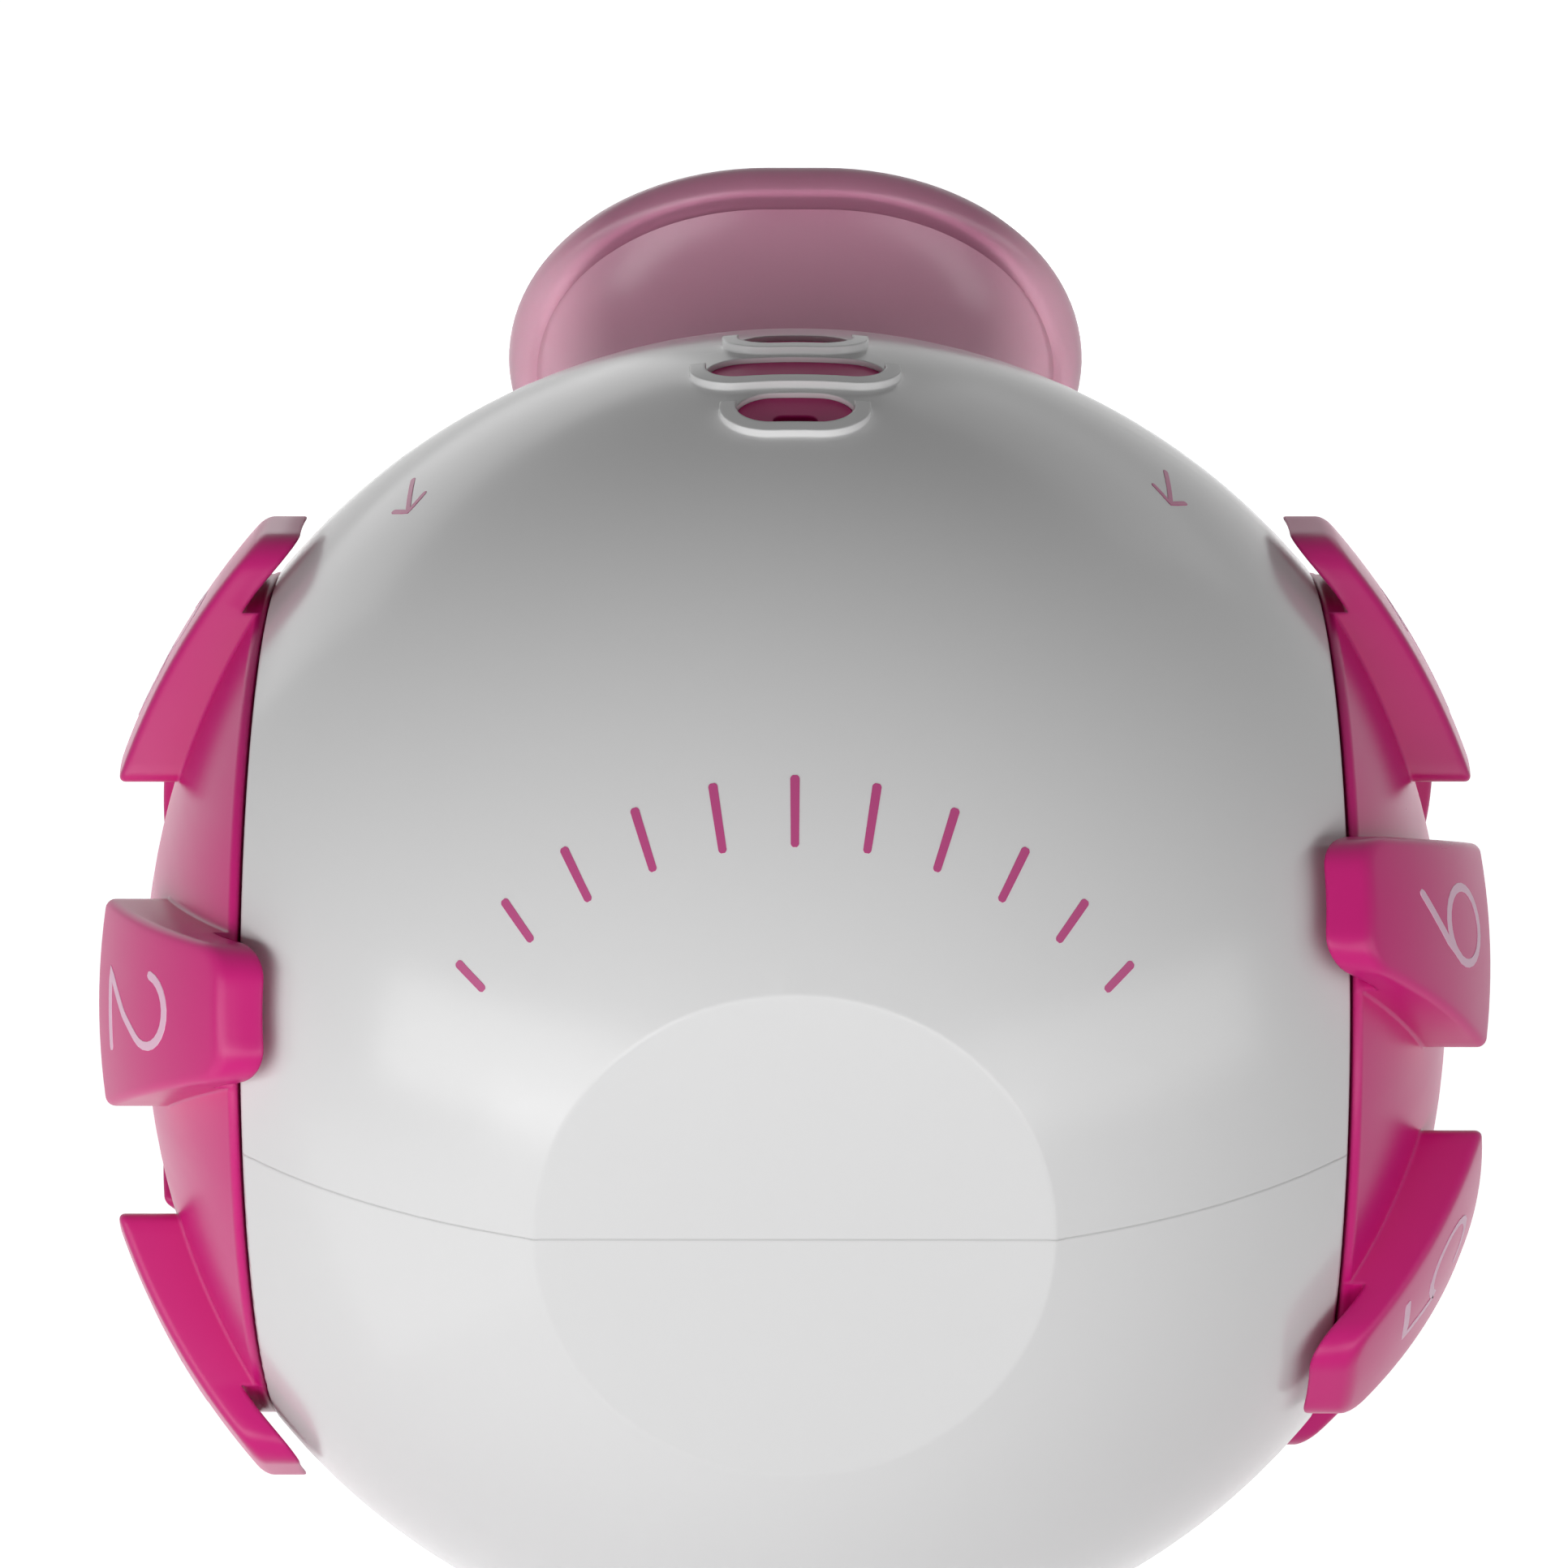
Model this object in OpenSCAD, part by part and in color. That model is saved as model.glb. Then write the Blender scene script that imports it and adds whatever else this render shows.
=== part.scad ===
// Breathing trainer: a palm-sized ball housing with a numbered dial on each side, one-way valves inside
// and a flared mouthpiece at the upper rear. Lengths are in millimetres.
// X points to the in-breath dial, -Y out of the front flat and +Z up to the air vents.

/* [Ball housing] */
// Outer radius of the ball
ball_r = 38; // [34:0.5:46]
// Wall thickness of both shells
shell_wall = 2.4; // [1.8:0.1:3.2]
// Depth of the front flat below the full ball
face_inset = 2.34; // [1.5:0.02:3]
// Depth below the full ball of the plane that each dial turns on
dial_inset = 8.93; // [7:0.01:10]
// Radius of the rounded edge around the front flat and around both dial planes
edge_round = 0.6; // [0.3:0.05:1]
// Thickness of the round end wall under each dial
end_wall = 2.2; // [1.6:0.1:3]
// Radius of the air holes in the end walls
air_hole_r = 1.6; // [1:0.1:1.6]
// Width of the web between the air holes and the tube in the end wall
air_web = 1.3; // [0.8:0.1:1.6]
// Number of air holes in each end wall
air_holes = 8; // [4:2:12]

/* [Shell pegs] */
// Place of each peg column along the dial axis and along the front, as shares of the ball radius
boss_shares = [0.5, 0.632];
// Radius of a peg column
boss_r = 3; // [2.5:0.1:4]
// Radius of a peg
peg_r = 1.5; // [1:0.1:2]
// Height of a peg above the parting plane
peg_h = 5; // [3:0.5:7]

/* [Air vents] */
// Angles of the three vent slots above the front, around the dial axis
vent_angles = [74.8, 82.9, 90.9];
// Lengths of the three vent slots along the dial axis
vent_lengths = [6.4, 9.8, 6.4];
// Width of a vent slot from front to back
vent_w = 4; // [3:0.1:4.2]
// Width of the raised lip around the front of a slot
vent_lip_w = 0.85; // [0.4:0.05:1]
// Height of the raised lip above the ball
vent_lip_h = 0.45; // [0.3:0.05:0.8]
// Depth of the coloured insert below the ball surface
insert_recess = 0.3; // [0.2:0.1:1]
// Thickness of the insert plate inside the shell
insert_plate = 1.3; // [1:0.1:2]
// Half width of the insert plate
insert_half_x = 8.5; // [7:0.5:12]
// Half depth of the insert plate from front to back
insert_half_y = 10.5; // [9:0.5:14]
// Width of the air slit through each insert pad
slit_w = 1.1; // [0.8:0.1:1.3]

/* [Airway core] */
// Outer radius of the tube that joins the two dials
neck_r = 14.5; // [13:0.1:15]
// Wall thickness of the tube ends
neck_wall = 2; // [1.4:0.1:2.4]
// Width of the shoulder that carries the valve
shoulder_w = 1.5; // [1:0.1:2.5]
// Depth of that shoulder below the dial plane
valve_depth = 15.07; // [14.5:0.01:15.5]
// Height of the flange that locates the tube between the end walls
core_flange_h = 1; // [0.6:0.1:1.1]
// Thickness of that flange
core_flange_t = 1.2; // [0.8:0.1:2]
// Wall around the collar socket in the branch that leads to the mouthpiece
branch_wall = 1.4; // [1:0.1:1.8]
// Distance of the branch bore inside the spigot
branch_step = 1; // [0.8:0.1:2]
// Depth of the end of the branch below the full ball
branch_inset = 7; // [6:0.1:8]
// Depth of the floor of the collar socket below the full ball
socket_inset = 13; // [12:0.1:15]

/* [Valves] */
// Thickness of the valve seat
seat_t = 1.6; // [1.2:0.1:2]
// Radius of each flow hole in the valve seat
flow_hole_r = 1.9; // [1.4:0.1:2.1]
// Distance of the flow hole centres from the edge of the valve disc
flow_inset = 3.4; // [3:0.1:4]
// Number of flow holes
flow_holes = 6; // [5:1:7]
// Gap between the floating valve disc and its cage
disc_gap = 1; // [0.6:0.1:1.4]
// Thickness of the floating valve disc
valve_disc_t = 1; // [0.6:0.1:1.4]
// Distance that the valve disc lifts off its seat
valve_lift = 1.5; // [0.8:0.1:2]
// Radius of the guide pin on the seat
guide_r = 1.2; // [0.9:0.1:1.5]
// Wall thickness of the cage ring
cage_wall = 1.85; // [1.4:0.05:2]
// Thickness of the cage spokes
spoke_t = 1.2; // [0.8:0.1:1.6]
// Width of a cage spoke
spoke_w = 1.8; // [1.2:0.1:2.4]
// Radius of the cage hub
cage_hub_r = 2.8; // [2:0.1:3.5]

/* [Port plates and selectors] */
// Depth of the inner face of the port plate below the dial plane
plate_depth = 5.67; // [5.4:0.01:6.2]
// Thickness of the port plate
plate_t = 2; // [1.6:0.1:2.4]
// Wall thickness of the spacer skirt on the port plate
skirt_wall = 1.65; // [1.2:0.05:2]
// Land between the port window and the middle of its seal
port_land = 0.9; // [0.7:0.05:1.2]
// Thickness of the selector disc
selector_t = 2; // [1.6:0.1:2.4]
// Radii of the graded holes in the out-breath selector
exhale_hole_rs = [2.1, 1.8, 1.5, 1.2, 0.9];
// Radii of the graded holes in the in-breath selector
inhale_hole_rs = [2.2, 1.9, 1.7, 1.4, 1.1, 0.9];
// Web left between the port seal and the edges of the plate
seal_web = 1.1; // [0.9:0.05:1.4]
// Cord radius of the port seal
seal_cord_r = 0.5; // [0.4:0.05:0.6]

/* [Dials] */
// Number of lugs on the out-breath dial
exhale_lugs = 5; // [3:1:5]
// Number of lugs on the in-breath dial
inhale_lugs = 6; // [3:1:6]
// Angle of the front lug of the out-breath dial above the front
exhale_lug_angle = 18; // [0:0.05:90]
// Angle of the front lug of the in-breath dial above the front
inhale_lug_angle = 30.4; // [0:0.05:90]
// Lug steps from the front lug to the port window
port_step = 1; // [0:1:3]
// Distance of the dial rim inside the edge of the ball
rim_inset = 0.37; // [0.3:0.01:1]
// Gap between the dial rim and the end wall
rim_gap = 0.2; // [0.15:0.05:0.5]
// Height of the straight part of the rim
rim_h = 0.4; // [0.3:0.05:1]
// Depth of the crown of the dial below the full ball
crown_inset = 0.9; // [0:0.1:2]
// Wall thickness of the dial
dial_wall = 1.9; // [1.5:0.1:2.5]
// Height of the outer face of the lugs above the full ball
lug_rise = 2.65; // [1.8:0.05:4]
// Gap between the lug tips and the ball under them
lug_gap = 0.9; // [0.3:0.05:1.2]
// Distance of the inner lug end from the dial axis
lug_in = 14.3; // [12:0.1:16]
// Length of the lug tip beyond the dial rim
lug_reach = 3.6; // [2:0.1:5]
// Half width of a lug at its inner end
lug_in_hw = 5.75; // [5:0.05:6.5]
// Half width of a lug at its tip
lug_out_hw = 3.7; // [3.2:0.05:5]
// Radius of the rounded corners of the lug tip
lug_corner = 2; // [1:0.1:3]
// Radius of the hub under the crown
hub_r = 4.6; // [4:0.1:5.5]
// Radius of the journal that turns in the port plate
journal_r = 2.6; // [2:0.1:3.5]
// Length of the drive key
key_l = 8; // [6:0.1:8.4]
// Width of the drive key
key_w = 2.4; // [2:0.1:3]
// Depth of the drive key in the selector
key_h = 1.4; // [1:0.1:1.6]
// Wall left between the dial rim and the pocket with the click notches
click_wall = 2.6; // [2.4:0.05:3]
// Radius of a click notch
click_notch_r = 0.7; // [0.5:0.05:0.8]

/* [Click springs and screws] */
// Distance of the middle of the spring strip from the pocket wall
spring_inset = 1.3; // [1.1:0.05:1.5]
// Thickness of the spring strip
spring_t = 0.4; // [0.3:0.05:0.6]
// Height of the spring strip
spring_h = 0.95; // [0.7:0.05:1]
// Radius of the spring nose
nose_r = 0.8; // [0.6:0.05:1]
// Radius of the spring foot post
foot_r = 1; // [0.8:0.05:1.1]
// Radius of the dial screw head
screw_head_r = 4.2; // [3.5:0.1:5]
// Height of the dial screw head
screw_head_h = 1.9; // [1.4:0.1:2.4]
// Radius of the dial screw shank
screw_r = 1.25; // [1:0.05:1.6]
// Length of the dial screw shank
screw_l = 7.5; // [5:0.5:9]
// Width of the slot in the screw head
screw_slot_w = 0.9; // [0.6:0.1:1.2]
// Depth of the slot in the screw head
screw_slot_d = 1; // [0.6:0.1:1.2]

/* [Mouthpiece] */
// Angle of the mouthpiece axis above the rear
mouth_tilt = 32; // [26:0.1:33]
// Wall thickness of the collar
collar_wall = 1.2; // [1:0.05:1.5]
// Width of the collar flange around its hole in the ball
collar_flange_w = 3.25; // [2:0.05:4]
// Thickness of the collar flange
collar_flange_t = 1.1; // [0.8:0.1:1.4]
// Width of the collar rim, and of the mouthpiece shoulder on it
collar_rim_w = 1; // [0.7:0.05:1.4]
// Height of the collar rim above the full ball
collar_rise = 1.4; // [1:0.1:2]
// Outer radius of the spigot
spigot_r = 10.8; // [9:0.1:11.1]
// Depth of the inner end of the spigot below the full ball
spigot_inset = 10.5; // [8:0.1:12]
// Wall thickness of the mouthpiece
mouth_wall = 1.5; // [1.2:0.1:2]
// Thickness of the mouthpiece shoulder
shoulder_t = 1.3; // [1:0.1:2]
// Height above the full ball at which the flare starts
flare_rise = 4.2; // [3.5:0.1:5]
// Widening of the flare from its start to the middle of the lip
flare_spread = 5; // [3:0.05:8]
// Height above the full ball of the middle of the rounded lip
lip_rise = 12.9; // [10:0.1:16]
// Distance of both end centres of the oval from the mouthpiece axis
oval_half = 1.8; // [1:0.1:1.9]
// Cord radius of the rounded lip
lip_cord_r = 1.35; // [1.1:0.05:1.8]
// Depth of the spigot ring below the full ball
ring_inset = 7.6; // [6:0.1:8]
// Cord radius of the spigot ring
ring_cord_r = 0.65; // [0.5:0.05:0.8]

/* [Clearances] */
// Clearance of a fixed piece in its seat
fit_gap = 0.05; // [0.02:0.01:0.1]
// Radial clearance of a turning or sliding fit
run_gap = 0.06; // [0.02:0.01:0.1]
// Clearance between the selector edge and its bore
edge_gap = 0.3; // [0.3:0.05:0.5]

/* [Hidden] */
$fn = 72;
inner_r = ball_r - shell_wall;
face_dist = ball_r - face_inset;
dial_plane = ball_r - dial_inset;
neck_bore_r = neck_r - neck_wall;
neck_end = dial_plane - fit_gap;
core_bore_r = neck_bore_r - shoulder_w;
core_flange_r = neck_r + core_flange_h;
end_inner = dial_plane - end_wall;
boss_x = boss_shares[0] * ball_r;
boss_y = boss_shares[1] * ball_r;
collar_bore_r = spigot_r + 2 * fit_gap;
collar_r = collar_bore_r + collar_wall;
collar_rim_r = collar_r + collar_rim_w;
mouth_hole_r = collar_r + 5 * fit_gap;
collar_flange_r = mouth_hole_r + collar_flange_w;
socket_r = collar_r + fit_gap;
branch_r = socket_r + branch_wall;
branch_bore_r = spigot_r - branch_step;
socket_floor = ball_r - socket_inset;
branch_end = ball_r - branch_inset;
valve_shoulder = dial_plane - valve_depth;
stack_r = neck_bore_r - fit_gap;
cage_bore_r = stack_r - cage_wall;
valve_disc_r = cage_bore_r - disc_gap;
flow_ring_r = valve_disc_r - flow_inset;
skirt_bore_r = stack_r - skirt_wall;
port_ring_r = (stack_r + journal_r) / 2;
seal_ring_r = (stack_r - journal_r) / 2 - seal_web - seal_cord_r;
port_r = seal_ring_r - port_land;
cage_h = valve_disc_t + valve_lift + 2 * fit_gap + spoke_t;
stack_top = valve_shoulder + seat_t + cage_h;
guide_h = valve_disc_t + valve_lift;
plate_pos = dial_plane - plate_depth;
selector_pos = plate_pos + plate_t + fit_gap;
selector_r = neck_bore_r - edge_gap;
hub_pos = selector_pos + selector_t + fit_gap;
rim_r = sqrt(ball_r * ball_r - dial_plane * dial_plane) - rim_inset;
rim_pos = dial_plane + rim_gap;
crown_pos = ball_r - crown_inset;
crown_rise = crown_pos - rim_pos - rim_h;
crown_r = (rim_r * rim_r + crown_rise * crown_rise) / (2 * crown_rise);
crown_base = crown_pos - crown_r;
lug_top_r = ball_r + lug_rise;
lug_under_r = ball_r + lug_gap;
lug_out = rim_r + lug_reach;
corner_pos = lug_out - lug_corner;
corner_side = lug_out_hw - lug_corner;
corner_run = corner_pos - lug_in;
corner_drop = lug_in_hw - corner_side;
corner_far = sqrt(corner_run * corner_run + corner_drop * corner_drop);
lug_taper = atan2(corner_drop, corner_run) - asin(lug_corner / corner_far);
air_ring_r = neck_r + air_web + air_hole_r;
foot_angle = 360 / air_holes;
click_ring_r = rim_r - click_wall;
spring_r = click_ring_r - spring_inset;
nose_mid_r = click_ring_r - nose_r - 2 * fit_gap;
spring_pos = dial_plane + 2 * fit_gap;
pocket_top = spring_pos + spring_h + 2 * fit_gap;
seal_pos = plate_pos + plate_t - seal_cord_r + fit_gap / 2;
insert_top = ball_r - insert_recess;
collar_end = ball_r + collar_rise;
spigot_start = ball_r - spigot_inset;
spigot_bore_r = spigot_r - mouth_wall;
shoulder_pos = collar_end + fit_gap;
shoulder_top = shoulder_pos + shoulder_t;
flare_start = ball_r + flare_rise;
lip_pos = ball_r + lip_rise;
flare_root_r = collar_rim_r - oval_half - mouth_wall / 2 - 3 * fit_gap;
lip_mid_r = flare_root_r + flare_spread;
flare_run = lip_pos - flare_start;
flare_arc_r = (flare_run * flare_run + flare_spread * flare_spread) / (2 * flare_spread);
ring_pos = ball_r - ring_inset;
ring_mid_r = collar_bore_r - fit_gap / 2 - ring_cord_r;
far = 3 * ball_r;

// The part's origin is the middle of the front flat, so all of it is moved back from the ball centre.
module placed() {
    translate([0, face_dist, 0])
        children();
}

// Turns a piece drawn along +Z so that it points out of one side, with its own x axis to the front.
module on_side(s) {
    rotate([0, 90 * s, 0])
        rotate([0, 0, -90])
            children();
}

// Turns a piece drawn along +Z so that it points along the mouthpiece axis.
module on_mouth() {
    rotate([mouth_tilt - 90, 0, 0])
        children();
}

// Turns a piece drawn along +Z so that it points out of the ball at an angle above the front.
module on_vent(a) {
    rotate([90 - a, 0, 0])
        children();
}

module ring(r_out, r_in, z0, z1) {
    translate([0, 0, z0])
        difference() {
            cylinder(r = r_out, h = z1 - z0);
            translate([0, 0, -fit_gap])
                cylinder(r = r_in, h = z1 - z0 + 2 * fit_gap);
        }
}

module racetrack(l, w, z0, z1) {
    translate([0, 0, z0])
        union() {
            for (e = [-1, 1])
                translate([e * (l - w) / 2, 0, 0])
                    cylinder(r = w / 2, h = z1 - z0);
            translate([-(l - w) / 2, -w / 2, 0])
                cube([l - w, w, z1 - z0]);
        }
}

module between_planes(x, y) {
    translate([-x, -y, -far])
        cube([2 * x, far + y, 2 * far]);
}

module half_space(s) {
    translate([-far, -far, s > 0 ? 0 : -far])
        cube([2 * far, 2 * far, far]);
}

// The sharp edge between the ball and a flat at a distance d, cut back to a round.
module edge_cut(d) {
    mid_r = sqrt((ball_r - edge_round) * (ball_r - edge_round) - (d - edge_round) * (d - edge_round));
    out = (ball_r + edge_round) / (ball_r - edge_round);
    rotate_extrude()
        difference() {
            polygon([
                [mid_r, d - edge_round],
                [mid_r, d + edge_round],
                [mid_r * out, d + edge_round],
                [mid_r * out, (d - edge_round) * out]
            ]);
            translate([mid_r, d - edge_round])
                circle(r = edge_round);
        }
}

module housing_walls() {
    difference() {
        intersection() {
            sphere(r = ball_r);
            between_planes(dial_plane, face_dist);
        }
        rotate([90, 0, 0])
            edge_cut(face_dist);
        for (s = [-1, 1])
            rotate([0, 90 * s, 0])
                edge_cut(dial_plane);
        intersection() {
            sphere(r = inner_r);
            between_planes(end_inner, face_dist - shell_wall);
        }
        on_mouth()
            cylinder(r = mouth_hole_r, h = far);
        for (s = [-1, 1])
            on_side(s)
                end_wall_holes(s);
    }
}

// The neck bore, the air holes around it and the hole for the foot of the click spring.
module end_wall_holes(s) {
    translate([0, 0, end_inner - fit_gap])
        cylinder(r = neck_r + fit_gap, h = end_wall + 2 * fit_gap);
    for (i = [0 : air_holes - 1])
        rotate([0, 0, (i + 0.5) * 360 / air_holes])
            translate([air_ring_r, 0, end_inner - fit_gap])
                cylinder(r = air_hole_r, h = end_wall + 2 * fit_gap);
    rotate([0, 0, -s * foot_angle])
        translate([spring_r, 0, end_inner - fit_gap])
            cylinder(r = foot_r + fit_gap, h = end_wall + 2 * fit_gap);
}

function lug_angle(s) = s > 0 ? inhale_lug_angle : exhale_lug_angle;
function lug_count(s) = s > 0 ? inhale_lugs : exhale_lugs;
function lug_step(s) = 360 / lug_count(s);
function spring_angle(s) = lug_angle(s) + port_step * lug_step(s);
function hole_rs(s) = s > 0 ? inhale_hole_rs : exhale_hole_rs;

module peg_columns(s) {
    intersection() {
        sphere(r = ball_r - shell_wall / 2);
        for (i = [-1, 1])
            for (j = [-1, 1])
                translate([i * boss_x, j * boss_y, s > 0 ? 0 : -ball_r])
                    cylinder(r = boss_r, h = ball_r);
    }
}

module at_pegs() {
    for (i = [-1, 1])
        for (j = [-1, 1])
            translate([i * boss_x, j * boss_y, 0])
                children();
}

module vent_slots() {
    for (i = [0 : 2])
        on_vent(vent_angles[i])
            racetrack(vent_lengths[i], vent_w, inner_r - shell_wall, far);
}

module vent_lips() {
    intersection() {
        difference() {
            sphere(r = ball_r + vent_lip_h);
            sphere(r = ball_r - shell_wall / 2);
        }
        for (i = [0 : 2])
            on_vent(vent_angles[i])
                difference() {
                    racetrack(vent_lengths[i] + 2 * vent_lip_w, vent_w + 2 * vent_lip_w, inner_r, far);
                    translate([-far, vent_w / 8, 0])
                        cube([2 * far, far, far]);
                }
    }
}

module upper_shell() {
    color("white")
        placed()
            difference() {
                union() {
                    intersection() {
                        housing_walls();
                        half_space(1);
                    }
                    peg_columns(1);
                    vent_lips();
                }
                vent_slots();
                at_pegs()
                    translate([0, 0, -fit_gap])
                        cylinder(r = peg_r + fit_gap, h = peg_h + 6 * fit_gap);
            }
}

module lower_shell() {
    color("white")
        placed()
            union() {
                intersection() {
                    housing_walls();
                    half_space(-1);
                }
                peg_columns(-1);
                at_pegs()
                    translate([0, 0, -boss_r])
                        cylinder(r = peg_r, h = peg_h + boss_r);
            }
}

module vent_insert() {
    color("deeppink")
        placed()
            difference() {
                union() {
                    intersection() {
                        difference() {
                            sphere(r = inner_r - fit_gap);
                            sphere(r = inner_r - fit_gap - insert_plate);
                        }
                        on_vent(vent_angles[1])
                            translate([-insert_half_x, -insert_half_y, 0])
                                cube([2 * insert_half_x, 2 * insert_half_y, far]);
                    }
                    intersection() {
                        sphere(r = insert_top);
                        for (i = [0 : 2])
                            on_vent(vent_angles[i])
                                racetrack(vent_lengths[i] - 2 * fit_gap, vent_w - 2 * fit_gap, inner_r - insert_plate, far);
                    }
                }
                for (i = [0 : 2])
                    on_vent(vent_angles[i])
                        translate([0, -vent_w / 6, 0])
                            racetrack(vent_lengths[i] - vent_w, slit_w, inner_r - 3 * insert_plate, far);
            }
}

module airway_core() {
    color("pink")
        placed()
            difference() {
                union() {
                    for (s = [-1, 1])
                        on_side(s) {
                            cylinder(r = neck_r, h = neck_end);
                            translate([0, 0, end_inner - fit_gap - core_flange_t])
                                cylinder(r = core_flange_r, h = core_flange_t);
                        }
                    on_mouth()
                        cylinder(r = branch_r, h = branch_end);
                }
                for (s = [-1, 1])
                    on_side(s) {
                        translate([0, 0, -fit_gap])
                            cylinder(r = core_bore_r, h = far);
                        translate([0, 0, valve_shoulder])
                            cylinder(r = neck_bore_r, h = far);
                    }
                on_mouth() {
                    cylinder(r = branch_bore_r, h = far);
                    translate([0, 0, socket_floor])
                        cylinder(r = socket_r, h = far);
                }
            }
}

// A valve seat with its flow holes and guide pin; flip turns it round for the in-breath side.
module valve_seat(z, flip) {
    translate([0, 0, z])
        mirror([0, 0, flip ? 1 : 0])
            union() {
                difference() {
                    cylinder(r = stack_r, h = seat_t);
                    for (i = [0 : flow_holes - 1])
                        rotate([0, 0, i * 360 / flow_holes])
                            translate([flow_ring_r, 0, -fit_gap])
                                cylinder(r = flow_hole_r, h = seat_t + 2 * fit_gap);
                }
                cylinder(r = guide_r, h = seat_t + guide_h);
            }
}

module valve_cage(z, flip) {
    translate([0, 0, z])
        mirror([0, 0, flip ? 1 : 0])
            union() {
                ring(stack_r, cage_bore_r, 0, cage_h);
                translate([0, 0, cage_h - spoke_t])
                    union() {
                        cylinder(r = cage_hub_r, h = spoke_t);
                        for (i = [0 : 2])
                            rotate([0, 0, i * 120])
                                translate([0, -spoke_w / 2, 0])
                                    cube([(stack_r + cage_bore_r) / 2, spoke_w, spoke_t]);
                    }
            }
}

module valve_disc(z) {
    ring(valve_disc_r, guide_r + run_gap, z, z + valve_disc_t);
}

module port_plate(s) {
    a = -s * spring_angle(s);
    difference() {
        union() {
            translate([0, 0, plate_pos])
                cylinder(r = stack_r, h = plate_t);
            ring(stack_r, skirt_bore_r, stack_top + fit_gap, plate_pos + plate_t / 2);
        }
        translate([0, 0, plate_pos - plate_t])
            cylinder(r = journal_r + run_gap, h = 3 * plate_t);
        rotate([0, 0, a])
            translate([port_ring_r, 0, plate_pos - plate_t]) {
                cylinder(r = port_r, h = 3 * plate_t);
                ring(seal_ring_r + seal_cord_r + fit_gap, seal_ring_r - seal_cord_r - fit_gap,
                     seal_pos - seal_cord_r - plate_pos + plate_t, 3 * plate_t);
            }
    }
}

module port_seal(s) {
    rotate([0, 0, -s * spring_angle(s)])
        translate([port_ring_r, 0, seal_pos])
            rotate_extrude()
                translate([seal_ring_r, 0])
                    circle(r = seal_cord_r);
}

module selector(s) {
    translate([0, 0, selector_pos])
        difference() {
            cylinder(r = selector_r, h = selector_t);
            translate([0, 0, -selector_t])
                cylinder(r = journal_r + 2 * fit_gap, h = 3 * selector_t);
            translate([-key_l / 2 - fit_gap, -key_w / 2 - fit_gap, selector_t - key_h - fit_gap])
                cube([key_l + 2 * fit_gap, key_w + 2 * fit_gap, selector_t]);
            for (i = [0 : lug_count(s) - 1])
                rotate([0, 0, -s * (lug_angle(s) + i * lug_step(s))])
                    translate([port_ring_r, 0, -selector_t])
                        cylinder(r = hole_rs(s)[i], h = 3 * selector_t);
        }
}

// Plan of a lug: its sides taper from the inner end and run smoothly into the rounded corners of the tip.
module lug_plan() {
    touch_x = corner_pos + lug_corner * sin(lug_taper);
    touch_y = corner_side + lug_corner * cos(lug_taper);
    polygon([
        [lug_in, -lug_in_hw],
        [touch_x, -touch_y],
        [lug_out, -corner_side],
        [lug_out, corner_side],
        [touch_x, touch_y],
        [lug_in, lug_in_hw]
    ]);
    for (m = [-1, 1])
        translate([corner_pos, m * corner_side])
            circle(r = lug_corner);
}

module dome_ball(r) {
    translate([0, 0, crown_base])
        sphere(r = r);
}

module lugs(s) {
    intersection() {
        for (i = [0 : lug_count(s) - 1])
            rotate([0, 0, -s * (lug_angle(s) + i * lug_step(s))])
                translate([0, 0, ball_r / 2])
                    linear_extrude(height = far)
                        lug_plan();
        sphere(r = lug_top_r);
    }
}

module click_pocket(s) {
    translate([0, 0, dial_plane])
        union() {
            cylinder(r = click_ring_r, h = pocket_top - dial_plane);
            for (i = [0 : lug_count(s) - 1])
                rotate([0, 0, -s * (lug_angle(s) + i * lug_step(s))])
                    translate([click_ring_r, 0, 0])
                        cylinder(r = click_notch_r, h = pocket_top - dial_plane);
        }
}

module dial(s) {
    difference() {
        union() {
            intersection() {
                translate([0, 0, rim_pos])
                    cylinder(r = rim_r, h = far);
                dome_ball(crown_r);
            }
            lugs(s);
        }
        difference() {
            sphere(r = lug_under_r);
            translate([0, 0, rim_pos])
                cylinder(r = rim_r, h = far);
        }
        click_pocket(s);
        intersection() {
            translate([0, 0, dial_plane])
                cylinder(r = click_ring_r, h = far);
            dome_ball(crown_r - dial_wall);
        }
    }
    intersection() {
        dome_ball(crown_r - dial_wall / 2);
        translate([0, 0, hub_pos])
            cylinder(r = hub_r, h = crown_pos - hub_pos);
    }
}

// The drive key and the journal under the hub, with the hole that the screw cuts its thread in.
module dial_shaft() {
    union() {
        translate([-key_l / 2, -key_w / 2, hub_pos - key_h])
            cube([key_l, key_w, 2 * key_h]);
        translate([0, 0, plate_pos - fit_gap])
            cylinder(r = journal_r, h = hub_pos - plate_pos + key_h);
    }
}

module whole_dial(s) {
    difference() {
        union() {
            dial(s);
            dial_shaft();
        }
        translate([0, 0, plate_pos - 2 * fit_gap])
            cylinder(r = screw_r + fit_gap, h = screw_l + 6 * fit_gap);
    }
}

module dial_screw() {
    difference() {
        union() {
            translate([0, 0, plate_pos - fit_gap - screw_head_h])
                cylinder(r = screw_head_r, h = screw_head_h);
            translate([0, 0, plate_pos - 2 * fit_gap])
                cylinder(r = screw_r, h = screw_l);
        }
        translate([-screw_head_r - fit_gap, -screw_slot_w / 2, plate_pos - fit_gap - screw_head_h - screw_slot_d])
            cube([2 * (screw_head_r + fit_gap), screw_slot_w, 2 * screw_slot_d]);
    }
}

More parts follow.
